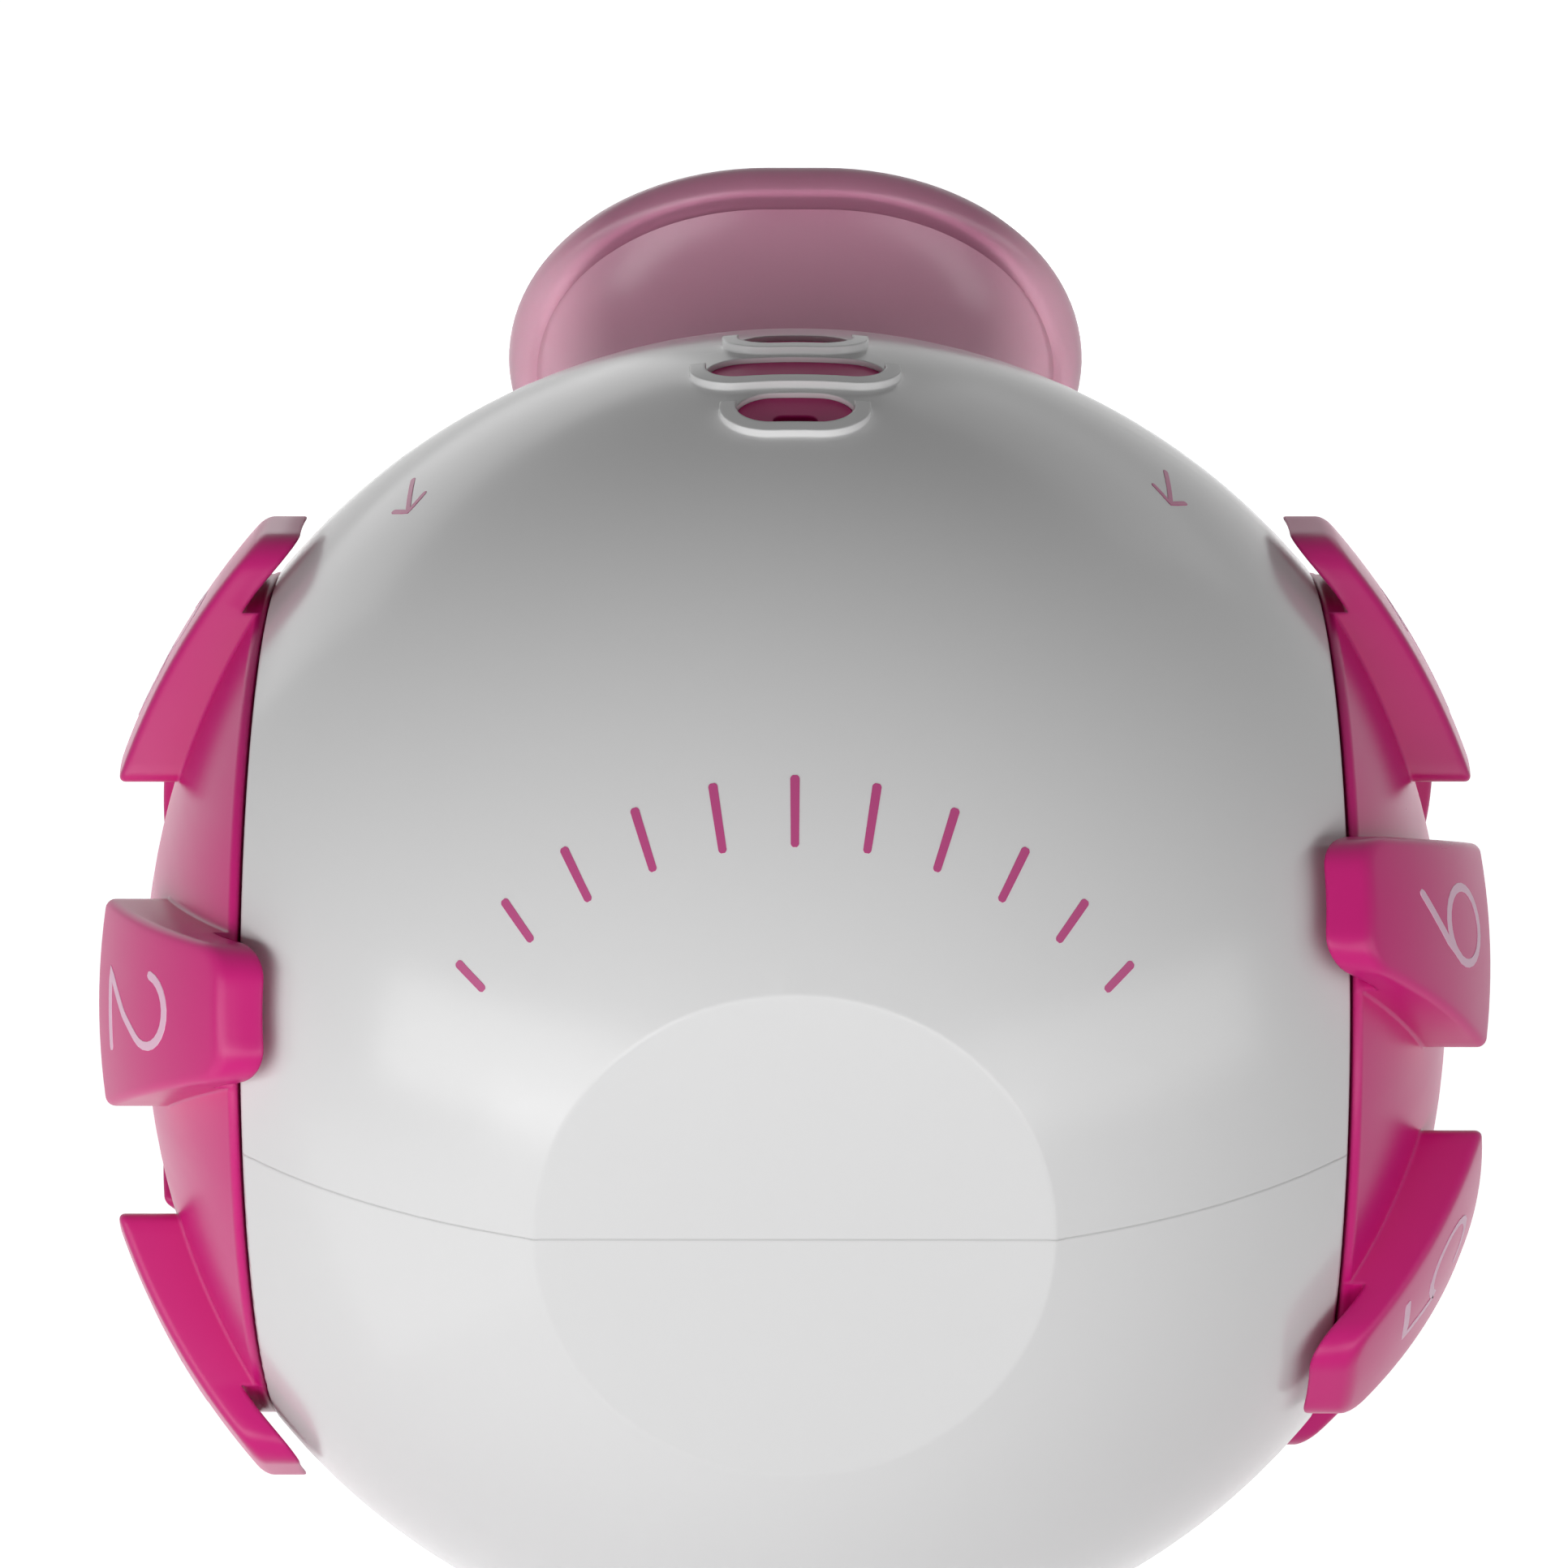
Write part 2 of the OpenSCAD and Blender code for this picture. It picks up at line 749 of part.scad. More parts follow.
// A strip that stands on the end wall by its foot and carries its nose at the free end.
module click_spring(s) {
    union() {
        rotate([0, 0, s > 0 ? -spring_angle(s) : foot_angle])
            rotate_extrude(angle = spring_angle(s) - foot_angle)
                translate([spring_r - spring_t / 2, spring_pos])
                    square([spring_t, spring_h]);
        rotate([0, 0, -s * spring_angle(s)])
            translate([nose_mid_r, 0, spring_pos])
                cylinder(r = nose_r, h = spring_h);
        rotate([0, 0, -s * foot_angle])
            translate([spring_r, 0, end_inner])
                cylinder(r = foot_r, h = spring_pos + spring_h - end_inner);
    }
}

module exhale_dial() {
    color("deeppink")
        placed()
            on_side(-1)
                whole_dial(-1);
}

module inhale_dial() {
    color("deeppink")
        placed()
            on_side(1)
                whole_dial(1);
}

module exhale_selector() {
    color("lightgray")
        placed()
            on_side(-1)
                selector(-1);
}

module inhale_selector() {
    color("lightgray")
        placed()
            on_side(1)
                selector(1);
}

module exhale_port_plate() {
    color("pink")
        placed()
            on_side(-1)
                port_plate(-1);
}

module inhale_port_plate() {
    color("pink")
        placed()
            on_side(1)
                port_plate(1);
}

module exhale_port_seal() {
    color("dimgray")
        placed()
            on_side(-1)
                port_seal(-1);
}

module inhale_port_seal() {
    color("dimgray")
        placed()
            on_side(1)
                port_seal(1);
}

module exhale_valve_seat() {
    color("gainsboro")
        placed()
            on_side(-1)
                valve_seat(valve_shoulder, false);
}

module inhale_valve_seat() {
    color("gainsboro")
        placed()
            on_side(1)
                valve_seat(stack_top, true);
}

module exhale_valve_cage() {
    color("gainsboro")
        placed()
            on_side(-1)
                valve_cage(valve_shoulder + seat_t, false);
}

module inhale_valve_cage() {
    color("gainsboro")
        placed()
            on_side(1)
                valve_cage(valve_shoulder + cage_h, true);
}

module exhale_valve_disc() {
    color("mistyrose")
        placed()
            on_side(-1)
                valve_disc(valve_shoulder + seat_t + fit_gap);
}

module inhale_valve_disc() {
    color("mistyrose")
        placed()
            on_side(1)
                valve_disc(stack_top - seat_t - fit_gap - valve_disc_t);
}

module exhale_dial_screw() {
    color("silver")
        placed()
            on_side(-1)
                dial_screw();
}

module inhale_dial_screw() {
    color("silver")
        placed()
            on_side(1)
                dial_screw();
}

module exhale_click_spring() {
    color("silver")
        placed()
            on_side(-1)
                click_spring(-1);
}

module inhale_click_spring() {
    color("silver")
        placed()
            on_side(1)
                click_spring(1);
}

module mouth_collar() {
    color("white")
        placed()
            on_mouth()
                difference() {
                    union() {
                        translate([0, 0, socket_floor + fit_gap])
                            cylinder(r = collar_r, h = collar_end - socket_floor - fit_gap);
                        intersection() {
                            difference() {
                                sphere(r = ball_r + fit_gap + collar_flange_t);
                                sphere(r = ball_r + fit_gap);
                            }
                            cylinder(r = collar_flange_r, h = far);
                        }
                        translate([0, 0, ball_r])
                            cylinder(r = collar_rim_r, h = collar_end - ball_r);
                    }
                    cylinder(r = collar_bore_r, h = far);
                }
}

// Section of the mouthpiece from its shoulder to the rounded lip, measured from the end centre of the oval.
module flare_section() {
    translate([flare_root_r - mouth_wall / 2, shoulder_pos + shoulder_t / 2])
        square([mouth_wall, flare_start - shoulder_pos - shoulder_t / 2]);
    intersection() {
        translate([flare_root_r + flare_arc_r, flare_start])
            difference() {
                circle(r = flare_arc_r + mouth_wall / 2);
                circle(r = flare_arc_r - mouth_wall / 2);
            }
        translate([0, flare_start])
            square([lip_mid_r + lip_cord_r / 2, flare_run]);
    }
    translate([lip_mid_r, lip_pos])
        circle(r = lip_cord_r);
}

// Takes the section around an oval: two half turns with a straight run between them.
module oval_flare() {
    for (e = [-1, 1])
        translate([e * oval_half, 0, 0])
            rotate([0, 0, -90 * e])
                rotate_extrude(angle = 180)
                    flare_section();
    for (m = [0, 1])
        mirror([0, m, 0])
            rotate([90, 0, 90])
                linear_extrude(height = 2 * oval_half, center = true)
                    flare_section();
}

module spigot() {
    rotate_extrude() {
        difference() {
            translate([spigot_bore_r, spigot_start])
                square([mouth_wall, shoulder_top - spigot_start]);
            translate([ring_mid_r - ring_cord_r - fit_gap, ring_pos - ring_cord_r - fit_gap])
                square([mouth_wall, 2 * ring_cord_r + 2 * fit_gap]);
        }
        translate([spigot_r - fit_gap, shoulder_pos])
            square([collar_rim_r - spigot_r + fit_gap, shoulder_t]);
    }
}

module mouthpiece() {
    color("pink")
        placed()
            on_mouth()
                union() {
                    spigot();
                    oval_flare();
                }
}

module mouthpiece_ring() {
    color("dimgray")
        placed()
            on_mouth()
                translate([0, 0, ring_pos])
                    rotate_extrude()
                        translate([ring_mid_r, 0])
                            circle(r = ring_cord_r);
}

upper_shell();
lower_shell();
vent_insert();
airway_core();
exhale_dial();
exhale_selector();
exhale_port_plate();
exhale_port_seal();
exhale_valve_seat();
exhale_valve_cage();
exhale_valve_disc();
exhale_dial_screw();
exhale_click_spring();
inhale_dial();
inhale_selector();
inhale_port_plate();
inhale_port_seal();
inhale_valve_seat();
inhale_valve_cage();
inhale_valve_disc();
inhale_dial_screw();
inhale_click_spring();
mouth_collar();
mouthpiece();
mouthpiece_ring();
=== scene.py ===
import math

import bmesh
import bpy
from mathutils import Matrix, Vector

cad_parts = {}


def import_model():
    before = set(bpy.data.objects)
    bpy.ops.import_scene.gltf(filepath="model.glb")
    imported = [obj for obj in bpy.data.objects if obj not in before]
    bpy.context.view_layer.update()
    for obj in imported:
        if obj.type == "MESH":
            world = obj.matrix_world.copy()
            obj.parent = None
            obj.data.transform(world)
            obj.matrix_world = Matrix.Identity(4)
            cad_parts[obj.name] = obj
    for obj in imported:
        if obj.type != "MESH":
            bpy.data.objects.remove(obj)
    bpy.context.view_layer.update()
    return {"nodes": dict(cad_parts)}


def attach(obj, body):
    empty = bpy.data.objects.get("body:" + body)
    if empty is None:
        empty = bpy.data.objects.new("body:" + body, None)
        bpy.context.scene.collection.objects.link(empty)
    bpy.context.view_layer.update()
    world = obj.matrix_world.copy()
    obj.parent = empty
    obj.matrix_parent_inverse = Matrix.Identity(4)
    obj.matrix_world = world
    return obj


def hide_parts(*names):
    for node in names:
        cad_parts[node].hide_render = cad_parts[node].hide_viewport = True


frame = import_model()
nodes = frame["nodes"]

MM = 0.001

# Sizes shared with the solids, in millimetres
FIT_GAP = 0.05
BALL_R = 38.0
FACE_INSET = 2.34
DIAL_INSET = 8.93
FACE_DIST = BALL_R - FACE_INSET
FACE_R = math.sqrt(BALL_R ** 2 - FACE_DIST ** 2)
DIAL_PLANE = BALL_R - DIAL_INSET

RIM_INSET = 0.37
RIM_GAP = 0.2
RIM_H = 0.4
RIM_R = math.sqrt(BALL_R ** 2 - DIAL_PLANE ** 2) - RIM_INSET
RIM_POS = DIAL_PLANE + RIM_GAP
RIM_TOP = RIM_POS + RIM_H
CROWN_INSET = 0.9
CROWN_POS = BALL_R - CROWN_INSET
CROWN_RISE = CROWN_POS - RIM_TOP
CROWN_R = (RIM_R ** 2 + CROWN_RISE ** 2) / (2 * CROWN_RISE)
CROWN_BASE = CROWN_POS - CROWN_R
DIAL_WALL = 1.9

LUG_RISE = 2.65
LUG_GAP = 0.9
LUG_REACH = 3.6
LUG_TOP_R = BALL_R + LUG_RISE
LUG_UNDER_R = BALL_R + LUG_GAP
LUG_IN = 14.3
LUG_OUT = RIM_R + LUG_REACH
LUG_IN_HW = 5.75
LUG_OUT_HW = 3.7
LUG_CORNER = 2.0

PLATE_DEPTH = 5.67
PLATE_T = 2.0
SELECTOR_T = 2.0
PLATE_POS = DIAL_PLANE - PLATE_DEPTH
HUB_POS = PLATE_POS + PLATE_T + SELECTOR_T + 2 * FIT_GAP
HUB_R = 4.6
JOURNAL_R = 2.6
JOURNAL_POS = PLATE_POS - FIT_GAP
KEY_L = 8.0
KEY_W = 2.4
KEY_H = 1.4
SCREW_R = 1.25
SCREW_L = 7.5
SCREW_HOLE_R = SCREW_R + FIT_GAP
SCREW_HOLE_TOP = PLATE_POS + SCREW_L + 4 * FIT_GAP
CLICK_WALL = 2.6
CLICK_NOTCH_R = 0.7
SPRING_H = 0.95
POCKET_R = RIM_R - CLICK_WALL
POCKET_TOP = DIAL_PLANE + SPRING_H + 4 * FIT_GAP

MOUTH_TILT = math.radians(32)
MOUTH_AXIS = (0, math.cos(MOUTH_TILT), math.sin(MOUTH_TILT))

# The out-breath side is -1 and the in-breath side 1
LUG_COUNT = {-1: 5, 1: 6}
LUG_ANGLE = {-1: 18.0, 1: 30.4}
DIGITS = {-1: "23451", 1: "612345"}
DIAL_BODY = {-1: "exhale_control", 1: "inhale_control"}
DIAL_NODE = {-1: "exhale_dial", 1: "inhale_dial"}

# Rounds that the moulding tool leaves, in millimetres
LUG_ROUND = 0.45
LUG_END_ROUND = 0.55
TIP_ROUND = 0.3
RIM_ROUND = 0.3
RIM_ROUND_DROP = 0.45 * RIM_ROUND
RIM_ROUND_ANGLE = 55
RIM_FOOT_ROUND = 0.12

# The crown's curve ends at this share of the rim's radius, just before the round edge
CROWN_SHARE = 0.985
# The round under a lug's tip is at most this share of the reach past the rim
TIP_SHARE = 0.4
# A lug is sunk in the dome, and its foot stays above the rim's lower edge
FOOT_DEPTH = 0.8
FOOT_POS = RIM_POS + 0.1
# The underside of a lug ends this far inside the rim's edge
RIM_TUCK = 0.03
# The middle line of a lug's cap stops this far from both ends of the lug
CAP_INSET = 3.2

# Numerals on the lugs
NUMERAL_H = 6.6
NUMERAL_FOOT = 17.0
NUMERAL_SHIFT = {-1: -0.1, 1: -0.3}
NUMERAL_HALF_W = 0.26
NUMERAL_LIFT = 0.03
NUMERAL_SINK = -0.12
NUMERAL_STEP = 0.5

# Width of a printed stroke, as a share of its foot: at its top face, and at both of its round ends
STROKE_TOP = 0.9
STROKE_SHOULDER = 0.85
STROKE_END = 0.5

# Print on the ball: a row of ticks above the front flat, in degrees and millimetres, and two arrows
PRINT_LIFT = 0.02
PRINT_SINK = -0.08
TICK_COUNT = 11
TICK_SPREAD = 52.0
TICK_POLAR = 31.6
TICK_LONG = 3.4
TICK_SHORT = 1.8
TICK_HALF_W = 0.24
TICK_STEP = 0.8
IN_ARROW = (20.25, -6.33, 31.53)
OUT_ARROW = (-20.9, -6.44, 31.08)
ARROW_AHEAD = (0, -1, -0.2)
ARROW_HALF_W = 0.17
ARROW_REACH = 2.0
SHAFT_GAP = 0.1
SHAFT_STEP = 0.5
BARB_REACH = 0.9
BARB_SPREAD = 1.0
BARB_STEP = 0.4

# The parting line, with its gaps to the dials and to the rounded edge of the flat
SEAM_HALF_W = 0.035
SEAM_LIFT = 0.012
SEAM_SINK = -0.05
SEAM_DIAL_GAP = 0.6
SEAM_OUTER_GAP = 0.45
SEAM_INNER_GAP = 0.3
SEAM_FRONT_STEPS = 20
SEAM_REAR_STEPS = 60
SEAM_FLAT_STEPS = 8

# Steps along the curves of the dials
TURN_STEPS = 240
CROWN_STEPS = 26
RIM_STEPS = 4
RIM_FOOT_STEPS = 3
INNER_DOME_STEPS = 12
END_STEPS = 6
END_ROUND_STEPS = 5
SIDE_STEPS = 18
CORNER_STEPS = 8
TIP_EDGE_STEPS = 4
EDGE_STEPS = 5
CAP_STEPS = 8
TIP_STEPS = 3
UNDER_STEPS = 4
# Tries along a lug's side to find where it crosses the rim, and the share of the side left free there
CROSSING_STEPS = 400
CROSSING_CLEAR = 0.02

# Clean-up of a drawn mesh, in millimetres, and the angles over which its edges stay sharp, in degrees
MERGE_DIST = 0.0004
FLAT_DIST = 0.0002
SHARP_ANGLE = 40
DIAL_SHARP_ANGLE = 38

CENTRE = Vector((0, FACE_DIST, 0))

# Base colours
WHITE = (0.785, 0.785, 0.785)
MAGENTA = (0.64, 0.009, 0.20)
CORE_PINK = (0.62, 0.16, 0.32)
PRINT = (0.50, 0.06, 0.22)
DIGIT = (0.82, 0.50, 0.66)
MOUTH_LIP = (0.46, 0.145, 0.26)
# Painted shade: the mouthpiece's root is greyer where the neck's shadow falls
MOUTH_ROOT_PAINTED_SHADE = (0.46, 0.21, 0.30)
# Painted light: the mouthpiece's lip is paler at both sides, where light comes through
MOUTH_SIDE_PAINTED_LIGHT = (0.97, 0.56, 0.70)
SHEEN_PINK = (1, 0.72, 0.85)
SATIN_GREY = (0.36, 0.36, 0.38)
CLEAR_TONE = (0.72, 0.74, 0.77)
SILICONE_TONE = (0.72, 0.6, 0.6)
SEAL_GREY = (0.06, 0.06, 0.07)
STEEL_TONE = (0.56, 0.56, 0.58)
SEAM_TONE = (0.66, 0.66, 0.66)

# Ends of the two painted runs on the mouthpiece, in millimetres: painted shade along its axis from the ball
# centre, and painted light out to both sides from the middle
ROOT_SHADE_RUN = (48.5, 52.0)
SIDE_LIGHT_RUN = (11.0, 17.0)

# Scales of the surface patterns, in waves per metre, and the relief of the grain in metres
PATCH_SCALE = 45
RUB_SCALE = 160
RUB_STRETCH = (1, 0.3, 1.6)
SATIN_GRAIN = 2600
FROST_GRAIN = 1800
FINE_GRAIN = 5200
GRAIN_RELIEF = 0.00003
# Samples that the shading of a rounded edge takes
EDGE_SAMPLES = 4


# Materials

def nodes_of(mat):
    mat.use_nodes = True
    tree = mat.node_tree
    tree.nodes.clear()
    out = tree.nodes.new("ShaderNodeOutputMaterial")
    return tree, out


def link(tree, a, b):
    tree.links.new(a, b)


def noise(tree, scale, detail, rough=0.5, stretch=(1, 1, 1)):
    """A noise pattern fixed to the object."""
    coords = tree.nodes.new("ShaderNodeTexCoord")
    tex = tree.nodes.new("ShaderNodeTexNoise")
    tex.inputs["Scale"].default_value = scale
    tex.inputs["Detail"].default_value = detail
    tex.inputs["Roughness"].default_value = rough
    place = tree.nodes.new("ShaderNodeMapping")
    place.inputs["Scale"].default_value = stretch
    link(tree, coords.outputs["Object"], place.inputs["Vector"])
    link(tree, place.outputs["Vector"], tex.inputs["Vector"])
    return tex.outputs["Fac"]


def between(tree, source, first, second):
    """A colour that runs smoothly from first to second with the source."""
    node = tree.nodes.new("ShaderNodeMix")
    node.data_type = "RGBA"
    node.inputs["A"].default_value = (*first, 1)
    node.inputs["B"].default_value = (*second, 1)
    link(tree, source, node.inputs["Factor"])
    return node.outputs["Result"]


def spread(tree, source, low, high):
    """Stretches the middle half of a noise pattern to run from low to high."""
    node = tree.nodes.new("ShaderNodeMapRange")
    node.clamp = False
    node.inputs["From Min"].default_value = 0.25
    node.inputs["From Max"].default_value = 0.75
    node.inputs["To Min"].default_value = low
    node.inputs["To Max"].default_value = high
    link(tree, source, node.inputs["Value"])
    return node.outputs["Result"]


def bump(tree, source, strength, edge):
    """Grain relief, on top of edges that are rounded by a radius in metres."""
    node = tree.nodes.new("ShaderNodeBump")
    node.inputs["Strength"].default_value = strength
    node.inputs["Distance"].default_value = GRAIN_RELIEF
    link(tree, source, node.inputs["Height"])
    if edge > 0:
        bevel = tree.nodes.new("ShaderNodeBevel")
        bevel.samples = EDGE_SAMPLES
        bevel.inputs["Radius"].default_value = edge
        link(tree, bevel.outputs["Normal"], node.inputs["Normal"])
    return node.outputs["Normal"]


def tint(colour, k):
    return tuple(min(1.0, c * k) for c in colour)


def moulded(name, colour, rough, drift=0.03, rough_drift=0.05, grain=SATIN_GRAIN, grain_depth=0.12,
            edge=0.0, specular=0.5, sub=0.0, sub_radius=(0.002, 0.001, 0.001), transmission=0.0,
            metallic=0.0, sheen=0.0):
    """A moulded surface: slow colour drift, fine rub marks in the roughness and a fine grain."""
    mat = bpy.data.materials.new(name)
    tree, out = nodes_of(mat)
    shader = tree.nodes.new("ShaderNodeBsdfPrincipled")
    patches = noise(tree, PATCH_SCALE, detail=2)
    drifted = between(tree, patches, tint(colour, 1 - drift), tint(colour, 1 + drift))
    link(tree, drifted, shader.inputs["Base Color"])
    rubs = noise(tree, RUB_SCALE, detail=3, rough=0.55, stretch=RUB_STRETCH)
    link(tree, spread(tree, rubs, rough - rough_drift, rough + rough_drift), shader.inputs["Roughness"])
    fine = noise(tree, grain, detail=2)
    link(tree, bump(tree, fine, grain_depth, edge), shader.inputs["Normal"])
    shader.inputs["Specular IOR Level"].default_value = specular
    shader.inputs["Subsurface Weight"].default_value = sub
    shader.inputs["Subsurface Radius"].default_value = sub_radius
    shader.inputs["Subsurface Scale"].default_value = 1.0
    shader.inputs["Transmission Weight"].default_value = transmission
    shader.inputs["Metallic"].default_value = metallic
    shader.inputs["Sheen Weight"].default_value = sheen
    shader.inputs["Sheen Roughness"].default_value = 0.35
    shader.inputs["Sheen Tint"].default_value = (*SHEEN_PINK, 1)
    link(tree, shader.outputs["BSDF"], out.inputs["Surface"])
    return mat


def along_mouth(tree):
    """Distance from the ball centre along the mouthpiece axis, in metres."""
    coords = tree.nodes.new("ShaderNodeTexCoord")
    away = tree.nodes.new("ShaderNodeVectorMath")
    away.operation = "SUBTRACT"
    away.inputs[1].default_value = CENTRE * MM
    link(tree, coords.outputs["Object"], away.inputs[0])
    along = tree.nodes.new("ShaderNodeVectorMath")
    along.operation = "DOT_PRODUCT"
    along.inputs[1].default_value = MOUTH_AXIS
    link(tree, away.outputs["Vector"], along.inputs[0])
    return along.outputs["Value"]


def off_middle(tree):
    """Distance to either side of the object's middle plane, in metres."""
    coords = tree.nodes.new("ShaderNodeTexCoord")
    split = tree.nodes.new("ShaderNodeSeparateXYZ")
    link(tree, coords.outputs["Object"], split.inputs["Vector"])
    aside = tree.nodes.new("ShaderNodeMath")
    aside.operation = "ABSOLUTE"
    link(tree, split.outputs["X"], aside.inputs[0])
    return aside.outputs["Value"]


def run_colour(mat, distance, run, near=None, far=None):
    """Runs the base colour of a moulded material from near to far; an end that isn't given keeps its own."""
    tree = mat.node_tree
    shader = next(node for node in tree.nodes if node.type == "BSDF_PRINCIPLED")
    own = shader.inputs["Base Color"].links[0].from_socket
    fade = tree.nodes.new("ShaderNodeMapRange")
    fade.interpolation_type = "SMOOTHSTEP"
    fade.inputs["From Min"].default_value = run[0] * MM
    fade.inputs["From Max"].default_value = run[1] * MM
    link(tree, distance(tree), fade.inputs["Value"])
    node = tree.nodes.new("ShaderNodeMix")
    node.data_type = "RGBA"
    link(tree, fade.outputs["Result"], node.inputs["Factor"])
    for socket, colour in (("A", near), ("B", far)):
        if colour is None:
            link(tree, own, node.inputs[socket])
        else:
            node.inputs[socket].default_value = (*colour, 1)
    link(tree, node.outputs["Result"], shader.inputs["Base Color"])


def frosted_pink():
    """Frosted and translucent: painted shade greys it toward its root, and painted light makes it paler at
    both sides.
    """
    mat = moulded("frosted_pink_mouthpiece", MOUTH_LIP, 0.3, drift=0.03, rough_drift=0.03, grain=FROST_GRAIN,
                  grain_depth=0.05, sub=0.2, sub_radius=(0.003, 0.0012, 0.0018), transmission=0.35, sheen=0.3)
    # painted shade: greyer toward the root, standing in for the neck's shadow
    run_colour(mat, along_mouth, ROOT_SHADE_RUN, near=MOUTH_ROOT_PAINTED_SHADE)
    # painted light: paler at both sides, where light comes through the frosted wall
    run_colour(mat, off_middle, SIDE_LIGHT_RUN, far=MOUTH_SIDE_PAINTED_LIGHT)
    return mat


white_shell = moulded("white_gloss_shell", WHITE, 0.2, drift=0.012, rough_drift=0.02, grain_depth=0.03,
                      edge=0.0002, specular=0.35)
white_trim = moulded("white_gloss_trim", WHITE, 0.34, drift=0.015, grain_depth=0.08, edge=0.0003)
magenta = moulded("magenta_satin_plastic", MAGENTA, 0.3, drift=0.03, rough_drift=0.03, grain_depth=0.03,
                  edge=0.0003, specular=0.3)
magenta_insert = moulded("magenta_insert_plastic", tint(MAGENTA, 0.9), 0.42, drift=0.04, grain_depth=0.05,
                         edge=0.0002, specular=0.2)
pink_core = moulded("pink_gloss_core", CORE_PINK, 0.35, edge=0.0003)
frosted = frosted_pink()
grey_plastic = moulded("grey_satin_plastic", SATIN_GREY, 0.45, edge=0.0002)
clear_plastic = moulded("clear_toned_plastic", CLEAR_TONE, 0.2, transmission=0.6, edge=0.0002)
silicone = moulded("silicone_disc", SILICONE_TONE, 0.55, sub=0.3)
grey_seal = moulded("grey_seal_rubber", SEAL_GREY, 0.6)
steel = moulded("bright_steel", STEEL_TONE, 0.28, drift=0.08, metallic=1.0, grain=FINE_GRAIN, edge=0.0001)
print_ink = moulded("magenta_print", PRINT, 0.4, drift=0.08, grain=FINE_GRAIN)
digit_ink = moulded("pale_digit_print", DIGIT, 0.42, drift=0.06, grain=FINE_GRAIN)
seam_shade = moulded("parting_line_shade", SEAM_TONE, 0.5, drift=0.05, grain=FINE_GRAIN, specular=0.2)


def dress(name, mat):
    """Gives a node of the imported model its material."""
    mesh = nodes[name].data
    mesh.materials.clear()
    mesh.materials.append(mat)


for breath in ("exhale", "inhale"):
    dress(breath + "_selector", grey_plastic)
    dress(breath + "_port_plate", pink_core)
    dress(breath + "_port_seal", grey_seal)
    dress(breath + "_valve_seat", clear_plastic)
    dress(breath + "_valve_cage", clear_plastic)
    dress(breath + "_valve_disc", silicone)
    dress(breath + "_dial_screw", steel)
    dress(breath + "_click_spring", steel)
    dress(breath + "_dial", magenta)
dress("upper_shell", white_shell)
dress("lower_shell", white_shell)
dress("vent_insert", magenta_insert)
dress("airway_core", pink_core)
dress("mouth_collar", white_trim)
dress("mouthpiece", frosted)
dress("mouthpiece_ring", grey_seal)


# Mesh tools

def piece(name, bm, mat, body, sharp=SHARP_ANGLE):
    """Makes an object of a mesh drawn in millimetres in the row's frame."""
    bmesh.ops.remove_doubles(bm, verts=bm.verts, dist=MERGE_DIST)
    bmesh.ops.dissolve_degenerate(bm, edges=bm.edges, dist=FLAT_DIST)
    bmesh.ops.recalc_face_normals(bm, faces=bm.faces)
    bmesh.ops.scale(bm, vec=(MM, MM, MM), verts=bm.verts)
    mesh = bpy.data.meshes.new(name)
    bm.to_mesh(mesh)
    bm.free()
    mesh.polygons.foreach_set("use_smooth", [True] * len(mesh.polygons))
    mesh.set_sharp_from_angle(angle=math.radians(sharp))
    mesh.materials.append(mat)
    obj = bpy.data.objects.new(name, mesh)
    bpy.context.scene.collection.objects.link(obj)
    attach(obj, body)
    return obj


def panel(bm, corners):
    """A face through the corners, each taken once; none where fewer than three are left."""
    own = []
    for corner in corners:
        if corner not in own:
            own.append(corner)
    if len(own) > 2:
        bm.faces.new(own)


def strip(bm, one, two):
    """Faces between two rows of corners that may share their ends."""
    for k in range(len(one) - 1):
        panel(bm, (one[k], one[k + 1], two[k + 1], two[k]))


def loft(bm, sections):
    """A closed bar through sections of four corners each."""
    for one, two in zip(sections[:-1], sections[1:]):
        for j in range(4):
            n = (j + 1) % 4
            bm.faces.new((one[j], one[n], two[n], two[j]))
    bm.faces.new(sections[0])
    bm.faces.new(list(reversed(sections[-1])))


def arc(cx, cy, r, start, end, count):
    """Points on an arc, angles in degrees."""
    points = []
    for k in range(count + 1):
        a = math.radians(start + (end - start) * k / count)
        points.append((cx + r * math.cos(a), cy + r * math.sin(a)))
    return points


def refined(points, step):
    """The same path, with points no further apart than about one step."""
    out = [points[0]]
    for a, b in zip(points[:-1], points[1:]):
        n = max(1, int(math.hypot(b[0] - a[0], b[1] - a[1]) / step))
        for k in range(1, n + 1):
            out.append((a[0] + (b[0] - a[0]) * k / n, a[1] + (b[1] - a[1]) * k / n))
    return out


def sphere_height(r, base, u, v):
    return base + math.sqrt(r * r - u * u - v * v)


# Dials

def to_row(side, x, y, z):
    """From a dial's own axes, x to the front and z outward, to the row's frame."""
    return Vector((side * z, FACE_DIST - x, -side * y))


def lug_turn(side, i):
    """Angle of a lug around its dial's axis."""
    return math.radians(-side * (LUG_ANGLE[side] + i * 360 / LUG_COUNT[side]))


def on_lug(side, turn, u, v, z):
    """From a lug's own axes, u along the lug and v across it, to the row's frame."""
    c = math.cos(turn)
    s = math.sin(turn)
    return to_row(side, u * c - v * s, u * s + v * c, z)


def notch_depth(side, k):
    """How far a click notch cuts into the pocket wall at one of the points around a dial."""
    period = TURN_STEPS // LUG_COUNT[side]
    off = min(k % period, period - k % period)
    along = POCKET_R * 2 * math.pi * off / TURN_STEPS
    return math.sqrt(max(0.0, CLICK_NOTCH_R ** 2 - along ** 2))


